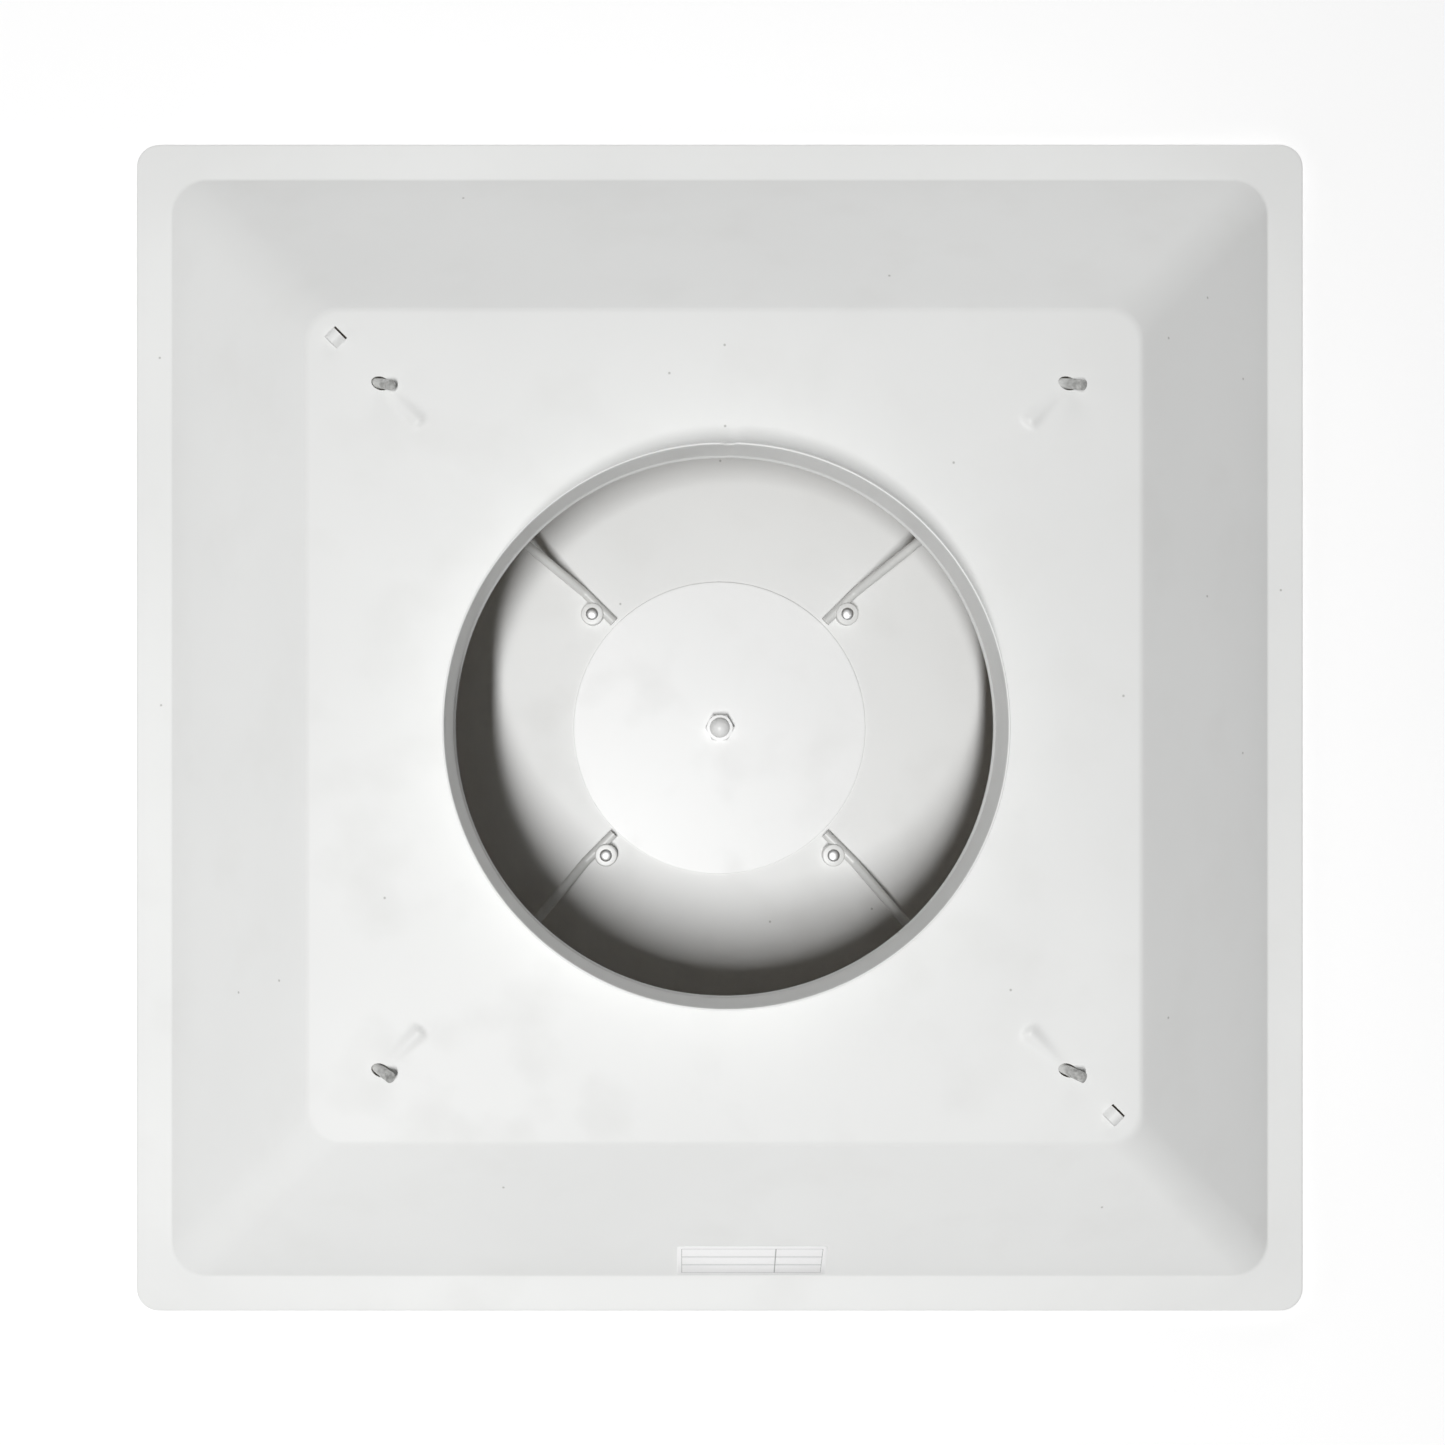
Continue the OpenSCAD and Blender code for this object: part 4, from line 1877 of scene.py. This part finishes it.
@dataclass
class CapNut:
    """The domed cap nut on the centre stud.

    Attributes:
        sizes: sizes from the frame.
        flats: width across the flats.
        hexagon: height of the hexagon.
        dome: radius of the dome.
        chamfer: chamfer of the hexagon's corners.
        foot_ease: rounding of the hexagon's foot.
        step: height of the dome's middle over the hexagon.
    """

    sizes: FrameSizes
    flats: float = 13.0
    hexagon: float = 6.0
    dome: float = 5.0
    chamfer: float = 0.9
    foot_ease: float = 0.45
    step: float = 1.0

    def build(self, material: bpy.types.Material) -> bpy.types.Object:
        """Builds the nut.

        Args:
            material: its finish.

        Returns:
            The finished nut.
        """
        base = self.sizes.disc_top
        count = 96
        shape = bmesh.new()
        top = base + self.hexagon
        levels = [(base, self.foot_ease), (base + self.foot_ease, 0.0)]
        levels += [(top - self.chamfer * 0.6, 0.0), (top, self.chamfer)]
        rings = [self._hexagon(z, trim, count) for z, trim in levels]
        line = [(self.dome + 0.25, top + 0.05), (self.dome, top + 0.35)]
        line += arc((0, top + self.step), self.dome, 0, 84, 12)
        rings += [circle(r, z, count) for r, z in line]
        close_dome(shape, loft(shape, rings), top + self.step + self.dome)
        piece = mesh_object("cap_nut", mesh_from_bmesh(shape), 28)
        dress(piece, material)
        return piece

    def _hexagon(self, z: float, trim: float, count: int) -> list[Vector]:
        """Ring of points on the hexagon, its corners trimmed to a cone.

        Args:
            z: height of the ring.
            trim: how far the corners are cut back.
            count: number of points.

        Returns:
            The points.
        """
        apothem = self.flats / 2
        points: list[Vector] = []
        limit = apothem / math.cos(math.radians(30)) - trim
        for k in range(count):
            angle = 2 * math.pi * k / count
            off = (angle + math.pi / 6) % (math.pi / 3) - math.pi / 6
            radius = min(apothem / math.cos(math.pi / 6 - abs(off)), limit)
            points.append(Vector((radius * math.cos(angle), radius * math.sin(angle), z)))
        return points


@dataclass
class Hangers:
    """The four wire hangers and the clamps that hold their feet.

    Attributes:
        sizes: sizes from the frame.
        wire: radius of the wire.
        foot_in: inner end's distance from both centre lines.
        foot_out: first bend's distance from both centre lines.
        hook_half: hook hole's distance from both centre lines.
        hook_z: middle of the plateau's sheet.
        reach: length of the leaning end on each side of the hole.
        crank: sideways crank under the hole.
        crank_depth: depth of the crank's bend.
        bend: bend radius on the wire's centre line.
        plate: thickness of the plaque's sheet.
        cap_radius: radius of a clamp cap.
        cap_top: thickness of a clamp cap above the wire.
        clamp_side: distance of a clamp from its wire's centre line.
        shank: radius of a clamp stud.
        head: radius of a clamp stud's head.
        head_rise: height of a clamp stud's head.
        gap: clearance of a cap around its wire and its stud.
        cap_ease: rounding of a clamp cap's top.
    """

    sizes: FrameSizes
    wire: float = 2.4
    foot_in: float = 55.0
    foot_out: float = 70.0
    hook_half: float = 159.0
    hook_z: float = 86.5
    reach: float = 9.0
    crank: float = 18.0
    crank_depth: float = 20.0
    bend: float = 6.0
    plate: float = 1.0
    cap_radius: float = 5.8
    cap_top: float = 1.2
    clamp_side: float = 5.05
    shank: float = 2.0
    head: float = 3.2
    head_rise: float = 1.4
    gap: float = 0.05
    cap_ease: float = 0.7

    def _route(self, corner: Corner) -> list[Vector]:
        """Corners of a hanger's centre line.

        Args:
            corner: the corner it hangs from.

        Returns:
            The points from its inner end to its tip.
        """
        hole = corner.at(self.hook_half, self.hook_z)
        floor = self.plate + self.wire
        tip = hole + self.sizes.lift * self.reach
        return [
            corner.at(self.foot_in, floor),
            corner.at(self.foot_out, floor),
            hole - Vector((0, self.crank, self.crank_depth)),
            hole - self.sizes.lift * self.reach,
            tip,
        ]

    def wires(
        self, tree: WireSweep, material: bpy.types.Material
    ) -> dict[Corner, bpy.types.Object]:
        """Builds the four wires.

        Args:
            tree: the tree that sweeps them.
            material: their finish.

        Returns:
            The wires by corner.
        """
        made: dict[Corner, bpy.types.Object] = {}
        for corner in Corner:
            made[corner] = tree.run(
                f"hanger_wire_{corner.word}",
                line_mesh(self._route(corner)),
                50,
                Wire_Radius=self.wire * MM,
                Bend_Radius=self.bend * MM,
                Material=material,
            )
        return made

    def _clamp_place(self, corner: Corner) -> tuple[Vector, float]:
        """Place of a clamp and its turn, with local +X towards the wire.

        Args:
            corner: the clamp's corner.

        Returns:
            The place on the plaque's back and the turn about Z.
        """
        middle = corner.at((self.foot_in + self.foot_out) / 2, self.plate)
        along = Vector((corner.value[0], corner.value[1], 0)).normalized()
        side = Vector((along.y, -along.x, 0))
        if side.y > 0:
            side = -side
        return middle + side * self.clamp_side, math.atan2(-side.y, -side.x)

    def _cap(self) -> bpy.types.Mesh:
        """Makes one clamp cap, with the groove for its wire along local Y.

        Returns:
            The cap's mesh.
        """
        height = 2 * self.wire + self.cap_top
        hole = self.shank + self.gap
        ease, foot = self.cap_ease, 0.2
        profile = [(hole, 0.0), (self.cap_radius - foot, 0.0), (self.cap_radius, foot)]
        profile += arc((self.cap_radius - ease, height - ease), ease, 0, 90, 6)
        profile += [(hole, height)]
        cap = placed("cap", revolved(profile, 72))
        groove, side = self.wire + self.gap, self.clamp_side
        below, beyond = -2.0, 9.0
        outline = arc((side, self.wire), groove, 0, 180, 20)
        outline += [(side - groove, below), (side + groove, below)]
        shape = bmesh.new()
        rows = loft(shape, [[Vector((x, y, z)) for x, z in outline] for y in (-beyond, beyond)])
        shape.faces.new(rows[0])
        shape.faces.new(rows[1])
        tool = placed("groove", mesh_from_bmesh(shape))
        cut = cap.modifiers.new("groove", "BOOLEAN")
        cut.operation = "DIFFERENCE"
        cut.solver = "EXACT"
        cut.object = tool
        mesh = applied(cap)
        bpy.data.objects.remove(tool)
        return mesh

    def _stud(self) -> bpy.types.Mesh:
        """Makes one clamp stud with its peened head.

        Returns:
            The stud's mesh.
        """
        seat = 2 * self.wire + self.cap_top
        ease, foot = 0.15, 0.02
        line = [(self.shank, foot), (self.shank, seat)]
        line += [(self.head - ease, seat), (self.head, seat + ease)]
        band = 2 * ease
        for k in range(1, 9):
            angle = math.radians(10 * k)
            rise = band + (self.head_rise - band) * math.sin(angle)
            line.append((self.head * math.cos(angle), seat + rise))
        shape = bmesh.new()
        rows = loft(shape, [circle(r, z, 48) for r, z in line])
        close_dome(shape, rows, seat + self.head_rise)
        return mesh_from_bmesh(shape)

    def clamps(
        self, scatter: Scatter, cap_finish: bpy.types.Material, stud_finish: bpy.types.Material
    ) -> tuple[bpy.types.Object, bpy.types.Object]:
        """Builds the clamp caps and their studs.

        Args:
            scatter: the tree that repeats them.
            cap_finish: finish of the caps.
            stud_finish: finish of the studs.

        Returns:
            The caps and the studs.
        """
        places = [self._clamp_place(corner) for corner in Corner]
        points = [place for place, _ in places]
        turns = [turn for _, turn in places]
        caps = scatter.spread("clamp_caps", self._cap(), points, turns, cap_finish)
        studs = scatter.spread("clamp_studs", self._stud(), points, turns, stud_finish)
        return caps, studs


# ---------------------------------------------------------------------------
# Studio
# ---------------------------------------------------------------------------


@dataclass(frozen=True)
class Lamp:
    """One soft studio lamp.

    Attributes:
        name: its name.
        place: where it stands, in metres.
        target: what it points at, in metres.
        size: width and height of its face, in metres.
        power: its power in watts.
        colour: its colour.
    """

    name: str
    place: tuple[float, float, float]
    target: tuple[float, float, float]
    size: tuple[float, float]
    power: float
    colour: Colour = (1.0, 1.0, 1.0)

    def build(self) -> bpy.types.Object:
        """Puts the lamp in the scene.

        Returns:
            The lamp.
        """
        data = bpy.data.lights.new(self.name, "AREA")
        data.shape = "RECTANGLE"
        data.size, data.size_y = self.size
        data.energy = self.power
        data.color = self.colour
        thing = placed(self.name, data)
        thing.location = self.place
        aim = Vector(self.target) - Vector(self.place)
        thing.rotation_euler = aim.to_track_quat("-Z", "Y").to_euler()
        return thing


@dataclass
class Studio:
    """Pale floor, soft lamps and the camera straight above.

    Attributes:
        flange_z: top of the flange, in metres.
        focal: the camera's focal length in millimetres.
        sensor: width of its sensor in millimetres.
        place: the camera's place over the flange, in metres.
        rise: the camera's height above the flange, in metres.
        shift: the camera's shift.
        ambient: strength of the even light from all around.
        backdrop: brightness of the backdrop behind the floor.
        floor_half: half width of the floor, in metres.
        floor_drop: distance of the floor under the plaque's face, in metres.
        lamps: the lamps.
    """

    flange_z: float
    focal: float = 36.5
    sensor: float = 36.0
    place: tuple[float, float] = (-0.0195, -0.004)
    rise: float = 0.757
    shift: tuple[float, float] = (0.028, 0.009)
    ambient: float = 0.06
    backdrop: float = 0.82
    floor_half: float = 6.0
    floor_drop: float = 0.0002
    lamps: tuple[Lamp, ...] = (
        Lamp("overhead", (-0.36, -0.70, 3.4), (-0.36, -0.70, 0.0), (0.18, 1.4), 96.0),
        Lamp("left_wall", (-1.6, -0.2, 0.5), (0.0, 0.0, 0.05), (1.4, 0.6), 2.6),
        Lamp("front_wall", (-0.2, -1.6, 0.5), (0.0, 0.0, 0.05), (1.4, 0.6), 1.4),
        Lamp("back_wall", (0.2, 1.6, 0.5), (0.0, 0.0, 0.05), (1.4, 0.6), 5.2),
    )

    def build(self, floor_finish: bpy.types.Material) -> None:
        """Builds the floor, the lamps, the even light and the camera.

        Args:
            floor_finish: finish of the floor.
        """
        self._floor(floor_finish)
        for lamp in self.lamps:
            lamp.build()
        self._surroundings()
        self._camera()
        scene = bpy.context.scene
        scene.view_settings.view_transform = "Standard"
        scene.view_settings.look = "None"

    def _floor(self, finish: bpy.types.Material) -> None:
        """Lays the floor.

        Args:
            finish: finish of the floor.
        """
        half = self.floor_half
        corners = [(x * half, y * half, -self.floor_drop) for x, y in QUARTERS]
        mesh = bpy.data.meshes.new("floor")
        mesh.from_pydata(corners, [], [(0, 1, 2, 3)])
        floor = placed("studio_floor", mesh)
        dress(floor, finish)

    def _surroundings(self) -> None:
        """Gives the world an even pale light."""
        world = bpy.data.worlds.new("studio_air")
        world.use_nodes = True
        sky = world.node_tree.nodes["Background"]
        sky.inputs["Color"].default_value = (1.0, 1.0, 1.0, 1.0)
        sheet = NodeSheet(world.node_tree)
        seen = sheet.add("ShaderNodeLightPath").outputs["Is Camera Ray"]
        sheet.link(sheet.spread(seen, self.ambient, self.backdrop), sky.inputs["Strength"])
        bpy.context.scene.world = world

    def _camera(self) -> None:
        """Hangs the camera straight above, looking down."""
        data = bpy.data.cameras.new("camera")
        data.lens = self.focal
        data.sensor_width = self.sensor
        data.shift_x, data.shift_y = self.shift
        data.clip_start = 0.01
        thing = placed("camera", data)
        thing.location = (*self.place, self.flange_z + self.rise)
        bpy.context.scene.camera = thing


def main() -> None:
    """Builds the diffuser and the studio around it."""
    logging.basicConfig(level=logging.INFO, format="%(message)s")
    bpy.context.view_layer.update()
    sizes = FrameSizes.from_frame()
    finishes = Finishes()
    scatter = Scatter()

    pan = BackPan(sizes)
    # The pan's inside faces carry painted shade in a dark brown coat.
    install(pan.build(finishes.pan, finishes.pan_inside), Body.BACKPAN, ["backpan"])
    install(pan.loops(scatter, finishes.pan), Body.BACKPAN)

    collar = DuctCollar(sizes)
    ring = collar.build(RingSweep(), pan.plateau_z, finishes.collar)
    install(ring, Body.BACKPAN, ["duct_collar"])

    label = BlankLabel()
    install(label.build(pan.slope_angle, finishes.effects), Body.BACKPAN, ["blank_label"])

    plaque = Plaque(sizes)
    install(plaque.panel(finishes.plaque), Body.PLAQUE, ["plaque_panel"])
    install(plaque.disc(finishes.disc), Body.PLAQUE, ["stiffener_disc"])
    install(CapNut(sizes).build(finishes.disc), Body.PLAQUE, ["centre_cap_nut"])

    hangers = Hangers(sizes)
    for corner, wire in hangers.wires(WireSweep(), finishes.wire).items():
        install(wire, Body.PLAQUE, [f"hanger_{corner.word}"])
    caps, studs = hangers.clamps(scatter, finishes.fitting, finishes.steel)
    install(caps, Body.PLAQUE, [f"clamp_cap_{corner.word}" for corner in Corner])
    install(studs, Body.PLAQUE, [f"clamp_stud_{corner.word}" for corner in Corner])

    dress(frame["nodes"]["centre_stud"], finishes.steel)
    LOG.info("centre_stud keeps its frame shape")

    flange_top = (sizes.hem_low + 2 * pan.sheet) * MM
    Studio(flange_top).build(finishes.floor)


if __name__ == "__main__":
    main()
